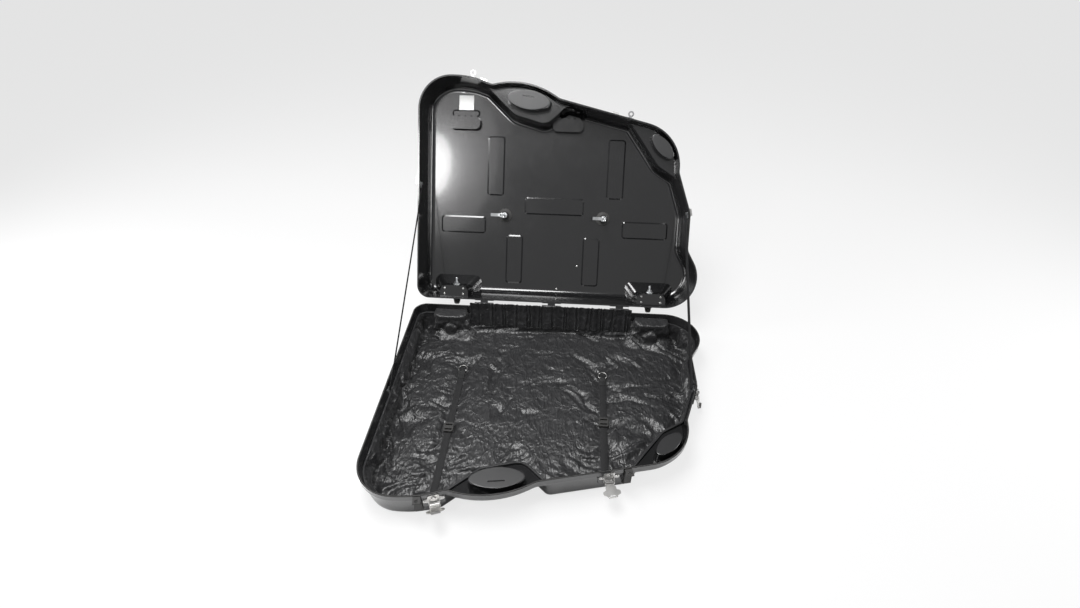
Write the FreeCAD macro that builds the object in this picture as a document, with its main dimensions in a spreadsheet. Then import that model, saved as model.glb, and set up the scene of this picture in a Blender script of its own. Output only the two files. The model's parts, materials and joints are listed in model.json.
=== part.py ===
"""Hard-shell travel case for a bicycle, lying on its base with the lid open.

The frame has X along the hinge, Y from the front edge to the hinge and Z up.
Its origin is the middle of the base's flat underside. All sizes are millimetres.
Plan positions on the case are (u, v): u from the left side, v from the hinge wall.
"""
import FreeCAD, Part
import math
import os
import re
import types

from FreeCAD import Placement, Rotation, Vector

SIZES = (
    # moulded halves
    ("case_length", 1177, "left side to the heel bulge"),
    ("case_height", 915, "hinge wall to the top of the front edge"),
    ("half_depth", 130, "rim to underside of one half"),
    ("rim_gap", 1, "gap between the two rims when closed"),
    ("wall", 3, "shell thickness"),
    ("band_height", 20, "stepped rim band"),
    ("band_step", 3, "how far the band stands out"),
    ("draft_angle", 8, "mould draft of the side walls"),
    ("floor_radius", 26, "outside radius between wall and floor"),
    ("rear_corner_radius", 52, "corner at the hinge, left"),
    ("front_corner_radius", 137, "front left corner"),
    ("brow_start", 216, "u where the front edge begins to fall"),
    ("brow_angle", 21.3, "fall of the front edge before the handle"),
    ("brow_radius", 355, "bend of the front edge before the handle"),
    ("front_slope", 13.5, "fall of the long front edge"),
    ("slope_rise", 57, "how far the long front edge, carried on to u = 0, passes the front"),
    ("waist_inset", 46, "waist of the right side in from the heel"),
    ("corner_oval_u", "=case_length - 176", "corner recess"),
    ("corner_v", "=case_height + slope_rise - corner_oval_u * tan(front_slope)", "v of the front edge there"),
    ("waist_front", "=corner_v - 337.7", "v where the right side starts to slant"),
    ("waist_rear", "=waist_front * 0.62", "v where the heel bulge starts"),
    ("side_angle", 19.3, "slant of the right side"),
    ("heel_angle", 30, "flank of the heel bulge"),
    ("heel_radius", 130, "heel bulge at the hinge, right"),
    ("waist_radius", 120, "bend of the right side at the waist"),
    ("heel_neck_radius", 45, "bend where the heel bulge starts"),
    # carrying handles
    ("handle_start", 301, "u of the handle bulge's left end"),
    ("handle_end", 577, "u of the handle bulge's right end"),
    ("handle_rise", 13.5, "angle at the bulge's left end"),
    ("handle_fall", 32.5, "angle at the bulge's right end"),
    ("handle_radius", 320, "outer curve of the handle"),
    ("corner_inset", 103, "corner handle's side in from the heel"),
    ("corner_radius", 175, "outer curve of the corner handle"),
    ("handle_root_radius", 30, "bend at the handle's left end"),
    ("handle_tail_radius", 60, "bend at the handle's right end"),
    ("corner_root_radius", 40, "bend under the corner handle"),
    ("shelf_depth", 45, "depth of the handle bulges"),
    ("shelf_radius", 8, "lower edge of the handle bulges"),
    ("notch_start", 288, "u where the deep wall turns in behind the handle"),
    ("notch_end", 604, "u where the deep wall comes out again"),
    ("notch_angle", 43, "slant of the deep wall at both ends"),
    ("notch_left_run", 150, "length of the left slant"),
    ("notch_right_run", 112, "length of the right slant"),
    ("notch_lip_radius", 48, "outer bends of the notch"),
    ("notch_radius", 40, "inner bends of the notch"),
    ("cut_radius", 50, "bends of the deep wall at the corner"),
    ("cut_start", "=case_length - 297", "u where the deep wall leaves the front edge at the corner"),
    ("cut_u", "=case_length - 177", "u of the deep wall's inner bend at the corner"),
    ("cut_v", "=corner_v - 136.7", "v of the deep wall's inner bend at the corner"),
    ("cut_end", "=corner_v - 185.7", "v where the deep wall meets the right side"),
    ("oval_u", 452, "handle recess"),
    ("oval_v", "=case_height - 90", "handle recess"),
    ("oval_turn", 7.3, "handle recess, turned with the edge"),
    ("oval_length", 130, "half length of the recess's rhombus"),
    ("oval_width", 43, "half width of the recess's rhombus"),
    ("corner_oval_v", "=corner_v - 73.7", "corner recess"),
    ("corner_oval_turn", 46.6, "corner recess, turned with the edge"),
    ("corner_oval_length", 86, "half length of the corner recess's rhombus"),
    ("corner_oval_width", 29, "half width of the corner recess's rhombus"),
    ("recess_flare", 4, "how much wider a recess is at its mouth"),
    ("mark_length", 54, "plain groove on the handle"),
    ("mark_width", 5, "plain groove on the handle"),
    ("mark_depth", 1, "plain groove on the handle"),
    # wheel wells
    ("well_left", 154, "u of the left casters"),
    ("well_right", "=case_length - 181", "u of the right casters"),
    ("well_width", 116, "at the end near the rim"),
    ("well_mid_width", 140, "where the well flares into the floor"),
    ("well_flare_width", 205, "at the floor"),
    ("well_ceiling", 52, "well depth from the hinge wall"),
    ("well_flare_ceiling", 92, "well depth at the floor"),
    ("well_top", 26, "well's end below the rim"),
    ("well_flare_height", 32, "height of the flare above the floor"),
    ("well_shoulder", 26, "rounded shoulders of the well"),
    ("well_rivet_span", 80, "rivets on a well's end, along the hinge"),
    ("well_rivet_first", 18, "rivets on a well's end, from the hinge wall"),
    ("well_rivet_pitch", 24, "rivets on a well's end, across"),
    # finger grips in the lid
    ("grip_left", 175, "u of the left grip"),
    ("grip_right", 614, "u of the right grip"),
    ("grip_v", "=case_height - 171", "v of both grips"),
    ("grip_length", 124, "grip cup"),
    ("grip_width", 44, "grip cup"),
    ("grip_depth", 28, "grip cup"),
    ("finger_count", 4, "finger lobes along the cup's edge"),
    ("finger_radius", 13, "finger lobes"),
    ("grip_plate_width", 18, "shallow plate beside the cup"),
    ("press_depth", 3, "shallow fields pressed into the lid's face"),
    ("press_bend", 8, "corners of the shallow fields"),
    ("press_slope", 2, "run of the fields' sides for one of depth"),
    # stiffening channels in the lid's face
    ("channel_width", 62, "channel"),
    ("channel_offset", 14, "channel beside the line through its skewer"),
    ("channel_gap", 90, "channel's end from the skewer"),
    ("channel_reach", 275, "channel's outer end from the skewer"),
    ("channel_low", 70, "v of the lower channels' ends"),
    ("channel_high", "=grip_v - 54", "v of the upper channels' ends"),
    # seal
    ("groove_inset", 1.8, "groove in the base's rim, from its outer face"),
    ("groove_width", 2.4, "groove in the base's rim"),
    ("groove_depth", 3, "groove in the base's rim"),
    ("seal_proud", 0.3, "seal above the rim"),
    ("seal_clearance", 0.1, "seal to the groove's sides"),
    # hinges
    ("open_angle", 121, "lid's opening held by the stay straps"),
    ("hinge_offset", 15, "hinge axis behind the rim band"),
    ("hinge_first", 290, "u of the first hinge"),
    ("hinge_pitch", 287, "spacing of the hinges"),
    ("hinge_count", 3, "hinges"),
    ("leaf_width", 80, "hinge leaf"),
    ("leaf_thickness", 2.5, "hinge leaf"),
    ("leaf_height", 17, "hinge leaf"),
    ("leaf_clearance", 2, "leaf's edge to the parting plane"),
    ("knuckle_radius", 5.5, "hinge knuckles"),
    ("knuckle_length", 24, "outer knuckles"),
    ("knuckle_clearance", 0.4, "between knuckles"),
    ("hinge_pin_radius", 3, "hinge pin"),
    ("fit_clearance", 0.04, "running fit on pins and axles"),
    # casters
    ("caster_drop", 78, "kingpin below the rim"),
    ("caster_trail", 20, "axle behind the kingpin"),
    ("caster_reach", 60, "axle out from the well's ceiling"),
    ("kingpin_radius", 5, "threaded stem"),
    ("kingpin_stem", 32, "stem inside the lid"),
    ("kingpin_short_stem", 15, "stem inside the base, under the lining"),
    ("journal_radius", 6, "where the fork turns"),
    ("race_radius", 18, "race under the ceiling"),
    ("race_thickness", 4, "race under the ceiling"),
    ("pin_head_radius", 10, "head under the fork"),
    ("pin_head_thickness", 3, "head under the fork"),
    ("washer_radius", 15.5, "washer inside the well"),
    ("washer_thickness", 2.5, "washer inside the well"),
    ("nut_width", 17, "nut across flats"),
    ("nut_height", 8, "nut"),
    ("fork_plate", 5, "fork's crown"),
    ("fork_crown_radius", 19, "fork's crown"),
    ("fork_cheek", 2.5, "fork's cheeks"),
    ("fork_gap", 26, "between the cheeks"),
    ("fork_eye_radius", 9, "fork round the axle"),
    ("wheel_radius", 28, "caster wheel"),
    ("wheel_width", 22, "caster wheel"),
    ("tread_radius", 5, "rounded edge of the tread"),
    ("axle_radius", 4, "caster axle"),
    ("axle_head_radius", 6.5, "caster axle"),
    ("axle_head_height", 2.5, "caster axle"),
    # latches
    ("latch_front_left_u", 273, "front left latch"),
    ("latch_front_right_u", "=case_length - 374", "front right latch"),
    ("latch_left_v", "=case_height - 425", "left latch"),
    ("latch_right_v", "=waist_front + 6", "right latch"),
    ("pad_width", 68, "moulded pad under a latch"),
    ("pad_seat", 0.3, "pad behind the rim band's face"),
    ("plate_top", 8, "latch plate below the rim"),
    ("plate_height", 46, "latch plate"),
    ("plate_width", 36, "latch plate between its ears"),
    ("plate_thickness", 2, "latch plate"),
    ("ear_span", 50, "rivet to rivet across the plate"),
    ("ear_radius", 8, "round ears"),
    ("ear_drop", 30, "ears below the rim"),
    ("rivet_radius", 2, "rivet shank"),
    ("rivet_head_radius", 4.5, "rivet head"),
    ("rivet_head_height", 2, "rivet head"),
    ("rivet_clearance", 0.1, "rivet in its hole"),
    ("latch_pivot_out", 9, "lever pin out from the wall"),
    ("latch_pivot_drop", 46, "lever pin below the rim"),
    ("latch_pin_radius", 2.5, "lever pin"),
    ("latch_hub_radius", 4.5, "lever round its pin"),
    ("latch_hub_width", 27, "lever between the cheeks"),
    ("cheek_gap", 28, "between the plate's cheeks"),
    ("cheek_thickness", 2.5, "plate's cheeks"),
    ("cheek_radius", 6.5, "plate's cheeks round the pin"),
    ("lever_length", 53, "lever from its pin to its claw"),
    ("lever_width", 56, "flared end of the lever"),
    ("lever_thickness", 2.2, "lever"),
    ("lever_claw", 8, "claw at the lever's end"),
    ("lever_waist", 34, "lever between its hub and its wings"),
    ("lever_tip_width", 30, "lever at its claw"),
    ("lever_front_left_angle", 58, "front left lever turned down from the keeper"),
    ("lever_front_right_angle", 93, "front right lever turned down from the keeper"),
    ("lever_side_angle", 158, "side levers turned down from the keeper"),
    ("lock_radius", 8, "key lock on the plate"),
    ("lock_height", 5, "key lock on the plate"),
    ("key_slot_length", 9, "key slot"),
    ("key_slot_width", 1.6, "key slot"),
    ("keeper_width", 34, "keeper plate"),
    ("keeper_height", 16, "keeper plate"),
    ("keeper_pitch", 22, "keeper rivets"),
    ("keeper_lip", 5, "keeper's lip"),
    ("keeper_lip_thickness", 1.8, "keeper's lip"),
    # padlock points
    ("padlock_left_u", 221, "left padlock point"),
    ("padlock_right_u", "=case_length - 315", "right padlock point"),
    ("eye_radius", 12, "padlock eye"),
    ("eye_hole_radius", 6, "padlock eye"),
    ("eye_reach", 16, "eye's centre out from the lid"),
    ("eye_neck", 12, "padlock eye's neck"),
    ("eye_thickness", 2.5, "padlock eye"),
    ("eye_lift", 3, "padlock eye above the lid's rim"),
    ("eye_foot_width", 30, "riveted foot of the eye"),
    ("eye_foot_height", 14, "riveted foot of the eye"),
    ("bracket_width", 24, "lock bracket"),
    ("bracket_height", 76, "lock bracket"),
    ("bracket_reach", 25, "lock bracket's top"),
    ("bracket_foot", 8, "lock bracket's lower end"),
    ("bracket_shelf", 6, "thickness of the bracket's top"),
    ("bracket_drop", 2, "bracket's top below the rim"),
    # lining
    ("lining_clearance", 0.4, "lining to the shell"),
    ("lining_thickness", 7, "padded lining"),
    ("lining_top", 34, "lining's hem below the rim"),
    ("flap_left", 237, "u of the flap over the hinge"),
    ("flap_right", "=case_length - 265", "u of the flap over the hinge"),
    ("flap_thickness", 3, "flap over the hinge"),
    ("flap_fold", 2.5, "depth of the flap's folds"),
    ("flap_folds", 22, "folds along the flap"),
    ("flap_height", 82, "flap over the hinge"),
    ("flap_drop", 85, "flap's lower edge below the rim"),
    # straps
    ("stay_v", "=latch_left_v - 17", "stay straps' anchors"),
    ("stay_right_v", "=waist_front - 4", "stay strap's anchor on the right"),
    ("stay_drop", 25, "stay strap's anchor below the rim"),
    ("stay_width", 15, "stay strap"),
    ("stay_twist", 25, "right stay strap turned towards the front"),
    ("stay_thickness", 1.5, "stay strap"),
    ("anchor_width", 26, "stay strap's anchor"),
    ("anchor_height", 18, "stay strap's anchor"),
    ("anchor_thickness", 2, "stay strap's anchor"),
    ("anchor_sag", 0.6, "right anchor off the curved wall behind it"),
    ("tie_left_u", 238, "left tie strap"),
    ("tie_right_u", "=case_length * 0.6772", "right tie strap"),
    ("tie_width", 25, "tie strap"),
    ("tie_thickness", 2, "tie strap"),
    ("tie_rear_v", 250, "tie strap's rear ring"),
    ("tie_front_drop", 62, "tie strap's front ring below the rim"),
    ("tie_bend", 30, "tie strap where wall meets floor"),
    ("ring_radius", 17, "strap ring"),
    ("ring_wire", 2, "strap ring"),
    ("buckle_length", 40, "strap buckle"),
    ("buckle_width", 34, "strap buckle"),
    ("buckle_height", 9, "strap buckle"),
    # wheel skewers in the lid
    ("skewer_left_u", 355, "left skewer"),
    ("skewer_right_u", "=case_length - 396", "right skewer"),
    ("skewer_v", 361, "both skewers"),
    ("post_radius", 30, "post's foot"),
    ("post_top_radius", 13, "post's end"),
    ("post_height", 32, "post"),
    ("post_foot", 4, "post's foot"),
    ("skewer_radius", 4.5, "skewer rod"),
    ("skewer_length", 62, "skewer rod out of the post"),
    ("skewer_nut_radius", 12, "round nut on the rod"),
    ("skewer_nut_height", 9, "round nut on the rod"),
    ("cam_radius", 8, "cam at the rod's end"),
    ("cam_length", 18, "cam at the rod's end"),
    ("cam_pin_radius", 2.5, "cam's pin"),
    ("tongue_thickness", 6, "rod's flat end between the cam's sides"),
    ("cam_lever_length", 48, "cam lever"),
    ("cam_lever_thickness", 5, "cam lever"),
)

doc = FreeCAD.newDocument("bike_travel_case")
sheet = doc.addObject("Spreadsheet::Sheet", "Sizes")
for row, (alias, value, meaning) in enumerate(SIZES, start=1):
    sheet.set(f"A{row}", meaning)
    sheet.set(f"B{row}", str(value))
    sheet.setAlias(f"B{row}", alias)
doc.recompute()
case = types.SimpleNamespace(**{alias: float(sheet.get(alias)) for alias, value, meaning in SIZES})

BASE_HAND, LID_HAND = 1, -1
UP = Vector(0, 0, 1)
DRAFT = math.tan(math.radians(case.draft_angle))
MID_U = case.case_length / 2
MID_V = case.case_height / 2
HINGE = Vector(0, MID_V + case.hinge_offset, case.half_depth + case.rim_gap / 2)
FLOOR = case.half_depth - case.wall

base_frame = Placement(Vector(0, 0, case.half_depth), Rotation())
opened = Placement(Vector(), Rotation(Vector(1, 0, 0), -case.open_angle), HINGE)
lid_closed = Placement(Vector(0, 0, case.half_depth + case.rim_gap), Rotation(Vector(0, 1, 0), 180))
lid_frame = opened * lid_closed

nodes = []


# General helpers

def bind(feature, **expressions):
    """Tie properties of a feature to cells of the sheet."""
    for name, text in expressions.items():
        feature.setExpression(name, re.sub(r"[a-z]\w*", lambda word: "Sizes." + word.group(0), text))


def polar(length, degrees):
    return Vector(length * math.cos(math.radians(degrees)), length * math.sin(math.radians(degrees)), 0)


def crossing(point, direction, other, heading):
    """Where two lines in the plan meet."""
    span = other - point
    share = (span.x * heading.y - span.y * heading.x) / (direction.x * heading.y - direction.y * heading.x)
    return point + direction * share


def rounded(corners, inset=0.0):
    """Lines and arcs of a closed outline with rounded corners, moved inwards by inset.

    A corner is (point, radius). A radius is limited by the sides that it joins.
    """
    points = [point for point, radius in corners]
    count = len(points)
    area = sum(a.x * b.y - b.x * a.y for a, b in zip(points, points[1:] + points[:1]))
    turn_way = math.copysign(1, area)
    headings = [(points[(i + 1) % count] - points[i]).normalize() for i in range(count)]
    inward = [Vector(-d.y, d.x, 0) * turn_way for d in headings]
    moved, reach, radii = [], [], []
    for i, (point, radius) in enumerate(corners):
        before, after = headings[i - 1], headings[i]
        moved.append(crossing(point + inward[i - 1] * inset, before, point + inward[i] * inset, after))
        convex = (before.x * after.y - before.y * after.x) * turn_way > 0
        fitted = radius - inset if convex else radius + inset
        radii.append(max(fitted, 0) if radius > 0 else 0)
        reach.append(radii[-1] * math.tan(before.getAngle(after) / 2))
    for i in range(count):
        side = (moved[(i + 1) % count] - moved[i]).Length
        wanted = reach[i] + reach[(i + 1) % count]
        if wanted > side:
            for k in (i, (i + 1) % count):
                radii[k] *= 0.999 * side / wanted
                reach[k] *= 0.999 * side / wanted
    edges = []
    starts = [moved[i] - headings[i - 1] * reach[i] for i in range(count)]
    ends = [moved[i] + headings[i] * reach[i] for i in range(count)]
    for i in range(count):
        if reach[i] > 1e-6:
            bisector = (headings[i] - headings[i - 1]).normalize()
            half_turn = headings[i - 1].getAngle(headings[i]) / 2
            middle = moved[i] + bisector * radii[i] * (1 / math.cos(half_turn) - 1)
            edges.append(Part.ArcOfCircle(starts[i], middle, ends[i]))
        following = starts[(i + 1) % count]
        if (following - ends[i]).Length > 1e-6:
            edges.append(Part.LineSegment(ends[i], following))
    return edges


def circle(x, y, radius):
    return Part.Circle(Vector(x, y, 0), UP, radius)


def rectangle(x0, y0, x1, y1, radius=0.0):
    corners = [(x0, y0), (x1, y0), (x1, y1), (x0, y1)]
    return rounded([(Vector(x, y, 0), radius) for x, y in corners])


def strip(points, radius, thickness):
    """Outline of a strip of even thickness along a path with rounded bends."""
    headings = [(b - a).normalize() for a, b in zip(points, points[1:])]
    sides = []
    for hand in (0.5, -0.5):
        offsets = [Vector(-d.y, d.x, 0) * (thickness * hand) for d in headings]
        side = [points[0] + offsets[0]]
        for i in range(1, len(points) - 1):
            before, after = points[i] + offsets[i - 1], points[i] + offsets[i]
            side.append(crossing(before, headings[i - 1], after, headings[i]))
        side.append(points[-1] + offsets[-1])
        sides.append(side)
    corners = []
    for side, hand in ((sides[0], 0.5), (sides[1][::-1], -0.5)):
        for i, point in enumerate(side):
            at_end = i in (0, len(side) - 1)
            k = i if hand > 0 else len(side) - 1 - i
            bend = 0
            if not at_end:
                left_turn = headings[k - 1].x * headings[k].y - headings[k - 1].y * headings[k].x > 0
                bend = radius - thickness * hand if left_turn else radius + thickness * hand
            corners.append((point, bend))
    return rounded(corners)


def sketch(name, edges, height=0.0):
    drawing = doc.addObject("Sketcher::SketchObject", name)
    drawing.addGeometry(edges, False)
    drawing.Placement = Placement(Vector(0, 0, height), Rotation())
    return drawing


def loft(name, sections):
    """Solid with straight flanks through outlines, each (edges, height)."""
    form = doc.addObject("Part::Loft", name)
    form.Sections = [sketch(name + "_outline", edges, height) for edges, height in sections]
    form.Solid = True
    form.Ruled = True
    return form


def prism(name, edges, height, length):
    form = doc.addObject("Part::Extrusion", name)
    form.Base = sketch(name + "_outline", edges, height)
    form.DirMode = "Normal"
    form.Solid = True
    bind(form, LengthFwd=length)
    return form


def round_edges(name, solid, radius, chosen):
    """Round the edges of a solid that the test named chosen picks."""
    doc.recompute()
    form = doc.addObject("Part::Fillet", name)
    form.Base = solid
    form.Edges = [(i, radius, radius) for i, edge in enumerate(solid.Shape.Edges, start=1) if chosen(edge)]
    return form


def fuse(name, solids):
    form = doc.addObject("Part::MultiFuse", name)
    form.Shapes = solids
    return form


def cut(name, solid, tools):
    tool = tools[0] if len(tools) == 1 else fuse(name + "_tools", tools)
    form = doc.addObject("Part::Cut", name)
    form.Base = solid
    form.Tool = tool
    return form


def box(name, corner, **expressions):
    form = doc.addObject("Part::Box", name)
    bind(form, **expressions)
    form.Placement.Base = corner
    return form


def cylinder(name, foot, axis, **expressions):
    form = doc.addObject("Part::Cylinder", name)
    bind(form, **expressions)
    form.Placement = Placement(foot, Rotation(UP, axis))
    return form


def new_body(name):
    return doc.addObject("PartDesign::Body", name)


def add_feature(body, kind, edges, role, length, start=0.0, back=False):
    """Pad or pocket of an outline drawn on one of the body's own planes, moved by start."""
    drawing = body.newObject("Sketcher::SketchObject", body.Name + "_drawing")
    plane = next(feature for feature in body.Origin.OriginFeatures if feature.Role == role)
    drawing.AttachmentSupport = (plane, [""])
    drawing.MapMode = "FlatFace"
    drawing.AttachmentOffset = Placement(Vector(0, 0, start), Rotation())
    drawing.addGeometry(edges, False)
    feature = body.newObject("PartDesign::" + kind, body.Name + "_" + kind.lower())
    feature.Profile = drawing
    feature.Reversed = back
    bind(feature, Length=length)
    return feature


def softened(outline):
    """Corners (x, y, bend) with each bend made of two short flats, which turn into plain cones."""
    count = len(outline)
    points = []
    for i, (x, y, bend) in enumerate(outline):
        corner = Vector(x, y, 0)
        if bend == 0:
            points.append((corner, 0))
            continue
        back = (Vector(*outline[i - 1][:2], 0) - corner).normalize()
        ahead = (Vector(*outline[(i + 1) % count][:2], 0) - corner).normalize()
        half_turn = (math.pi - back.getAngle(ahead)) / 2
        reach = bend * math.tan(half_turn)
        crown = (back + ahead).normalize() * (bend / math.cos(half_turn) - bend)
        points += [(corner + back * reach, 0), (corner + crown, 0), (corner + ahead * reach, 0)]
    return points


def revolved(name, outline):
    """Body turned about Z from (radius, height) corners, each with its own bend."""
    body = new_body(name)
    drawing = body.newObject("Sketcher::SketchObject", name + "_drawing")
    plane = next(feature for feature in body.Origin.OriginFeatures if feature.Role == "XZ_Plane")
    drawing.AttachmentSupport = (plane, [""])
    drawing.MapMode = "FlatFace"
    drawing.addGeometry(rounded(softened(outline)), False)
    turned = body.newObject("PartDesign::Revolution", name + "_turned")
    turned.Profile = drawing
    turned.ReferenceAxis = (drawing, ["V_Axis"])
    turned.Angle = 360
    return body


def place(label, form, placement):
    """A finished sub-part: a form set in its place."""
    part = doc.addObject("Part::Compound", label)
    part.Label = label
    part.Links = [form]
    part.Placement = placement
    nodes.append(part)
    return part


def place_group(label, form, placements):
    """Like pieces that share one node."""
    copies = []
    for placement in placements:
        copy = doc.addObject("Part::Compound", label + "_piece")
        copy.Links = [form]
        copy.Placement = placement
        copies.append(copy)
    part = doc.addObject("Part::Compound", label)
    part.Label = label
    part.Links = copies
    nodes.append(part)
    return part


def shift(x, y, z):
    return Placement(Vector(x, y, z), Rotation())


# Outlines of the halves in plan

def plan(u, v, hand=BASE_HAND):
    return Vector(hand * (u - MID_U), MID_V - v, 0)


def on_front_slope(u):
    return Vector(u, case.case_height + case.slope_rise - u * math.tan(math.radians(case.front_slope)), 0)


def on_brow(u):
    fall = math.tan(math.radians(case.brow_angle))
    return Vector(u, case.case_height - (u - case.brow_start) * fall, 0)


def on_side_slant(v):
    waist = case.case_length - case.waist_inset
    return Vector(waist - (v - case.waist_front) * math.tan(math.radians(case.side_angle)), v, 0)


def hinge_side_corners():
    """Waist, heel bulge and the two corners at the hinge wall."""
    waist = case.case_length - case.waist_inset
    heel_tip = waist + case.waist_rear * math.tan(math.radians(case.heel_angle))
    return [
        (Vector(waist, case.waist_front, 0), case.waist_radius),
        (Vector(waist, case.waist_rear, 0), case.heel_neck_radius),
        (Vector(heel_tip, 0, 0), case.heel_radius),
        (Vector(0, 0, 0), case.rear_corner_radius),
    ]


def front_left_corners():
    return [
        (Vector(0, case.case_height, 0), case.front_corner_radius),
        (Vector(case.brow_start, case.case_height, 0), case.brow_radius),
    ]


def in_plan(corners, hand):
    return [(plan(point.x, point.y, hand), radius) for point, radius in corners]


def rim_outline(hand, inset=0.0):
    """Full outline with both handle bulges."""
    start = on_brow(case.handle_start)
    end = on_front_slope(case.handle_end)
    crest = crossing(start, polar(1, case.handle_rise), end, polar(1, -case.handle_fall))
    side = case.case_length - case.corner_inset
    slant = math.tan(math.radians(case.side_angle))
    valley_v = case.waist_front + (case.corner_inset - case.waist_inset) / slant
    handles = [
        (start, case.handle_root_radius),
        (crest, case.handle_radius),
        (end, case.handle_tail_radius),
        (on_front_slope(side), case.corner_radius),
        (Vector(side, valley_v, 0), case.corner_root_radius),
    ]
    return rounded(in_plan(front_left_corners() + handles + hinge_side_corners(), hand), inset)


def deep_outline(hand, inset=0.0):
    """Outline of the deep tub, drawn in behind both handles."""
    start = on_brow(case.notch_start)
    end = on_front_slope(case.notch_end)
    notches = [
        (start, case.notch_lip_radius),
        (start + polar(case.notch_left_run, -case.notch_angle), case.notch_radius),
        (end - polar(case.notch_right_run, case.notch_angle), case.notch_radius),
        (end, case.notch_lip_radius),
        (on_front_slope(case.cut_start), case.cut_radius),
        (Vector(case.cut_u, case.cut_v, 0), case.cut_radius),
        (on_side_slant(case.cut_end), case.cut_radius),
    ]
    return rounded(in_plan(front_left_corners() + notches + hinge_side_corners(), hand), inset)


def oval(hand, u, v, turn, length, width, inset=0.0):
    """Lens-shaped recess with rounded tips, set along the edge."""
    middle = Vector(u, v, 0)
    along = polar(1, -turn)
    across = polar(1, 90 - turn)
    tip_radius = width * 0.47
    flank_radius = length * 1.12
    corners = [
        (middle + along * length, tip_radius),
        (middle + across * width, flank_radius),
        (middle - along * length, tip_radius),
        (middle - across * width, flank_radius),
    ]
    return rounded(in_plan(corners, hand), inset)


def site(u, v):
    """Frame on the rim's outer face nearest to (u, v): X along the wall, Y outwards, Z up."""
    wire = Part.Wire([edge.toShape() for edge in rim_outline(BASE_HAND)])
    gap, pairs, notes = wire.distToShape(Part.Vertex(plan(u, v)))
    on_wall = pairs[0][0]
    note = notes[0]
    if note[0] == "Edge":
        tangent = wire.Edges[note[1]].tangentAt(note[2])
    else:
        nearest = min(wire.Edges, key=lambda edge: edge.distToShape(Part.Vertex(on_wall))[0])
        tangent = nearest.tangentAt(nearest.FirstParameter)
    outward = tangent.cross(UP)
    if outward.dot(on_wall) < 0:
        outward = -outward
    return Placement(on_wall + UP * case.half_depth, Rotation(outward.cross(UP), outward, UP, "ZXY"))


latch_sites = {
    "front_left": site(case.latch_front_left_u, case.case_height),
    "front_right": site(case.latch_front_right_u, on_front_slope(case.latch_front_right_u).y),
    "left": site(0, case.latch_left_v),
    "right": site(on_side_slant(case.latch_right_v).x, case.latch_right_v),
}
padlock_sites = {
    "left": site(case.padlock_left_u, case.case_height),
    "right": site(case.padlock_right_u, on_front_slope(case.padlock_right_u).y),
}
well_places = {"left": case.well_left, "right": case.well_right}


# Moulded halves

def tub(name, hand, inset, floor, radius):
    """Deep part of a half as a solid, its rim at z = 0."""
    drawn_in = inset + floor * DRAFT
    form = loft(name, [(deep_outline(hand, drawn_in), -floor), (deep_outline(hand, inset), 0)])
    return round_edges(name + "_rounded", form, radius, lambda edge: edge.BoundBox.ZMax < -floor + 0.01)


def shelf(name, hand, inset, floor, radius):
    """Shallow part of a half that carries the handle bulges."""
    drawn_in = inset + floor * DRAFT
    form = loft(name, [(rim_outline(hand, drawn_in), -floor), (rim_outline(hand, inset), 0)])
    return round_edges(name + "_rounded", form, radius, lambda edge: edge.BoundBox.ZMax < -floor + 0.01)


def rim_band(name, hand):
    step = case.band_step
    return loft(name, [
        (rim_outline(hand, step), -case.band_height - step),
        (rim_outline(hand), -case.band_height),
        (rim_outline(hand), 0),
    ])


def well(name, hand, u, grown):
    """Space of a wheel well, grown on every side: a box with round shoulders that flares into the floor."""
    overrun = 4

    def section(width, ceiling):
        half = width / 2 + grown
        deep = ceiling + grown
        shoulder = case.well_shoulder + grown
        corners = [(-half, -overrun, 0), (-half, deep, shoulder), (half, deep, shoulder), (half, -overrun, 0)]
        return rounded(in_plan([(Vector(u + x, v, 0), radius) for x, v, radius in corners], hand))

    flare_foot = case.half_depth + overrun
    flare_slope = overrun / case.well_flare_height
    foot_width = case.well_flare_width + (case.well_flare_width - case.well_mid_width) * flare_slope
    foot_ceiling = case.well_flare_ceiling + (case.well_flare_ceiling - case.well_ceiling) * flare_slope
    return loft(name, [
        (section(foot_width, foot_ceiling), -flare_foot),
        (section(case.well_mid_width, case.well_ceiling), -case.half_depth + case.well_flare_height + grown),
        (section(case.well_width, case.well_ceiling), -case.well_top + grown),
    ])


def recess(name, outline, mouth, end, flare):
    """Drafted space that opens at the underside: outline(inset) gives its section."""
    return loft(name, [(outline(-flare), -mouth), (outline(0), -end)])


def handle_ovals(hand, grown):
    def top(inset):
        return oval(hand, case.oval_u, case.oval_v, case.oval_turn,
                    case.oval_length, case.oval_width, inset - grown)

    def corner(inset):
        return oval(hand, case.corner_oval_u, case.corner_oval_v, case.corner_oval_turn,
                    case.corner_oval_length, case.corner_oval_width, inset - grown)

    return top, corner


def handle_mark(hand):
    """Plain groove along the middle of the handle."""
    middle = Vector(case.oval_u, case.oval_v + case.oval_width * 0.3, 0)
    along = polar(case.mark_length / 2, -case.oval_turn)
    across = polar(case.mark_width / 2, 90 - case.oval_turn)
    start, end = middle - along, middle + along
    corners = [start - across, end - across, end + across, start + across]
    return rounded(in_plan([(corner, case.mark_width * 0.49) for corner in corners], hand))


def well_rivet_spots(u):
    """Rivet seats on a well's end in the lid, just below its rim."""
    spots = []
    for x in (-case.well_rivet_span / 2, case.well_rivet_span / 2):
        for v in (case.well_rivet_first, case.well_rivet_first + case.well_rivet_pitch):
            spots.append(plan(u + x, v, LID_HAND) - UP * (case.well_top - case.wall))
    return spots


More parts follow.
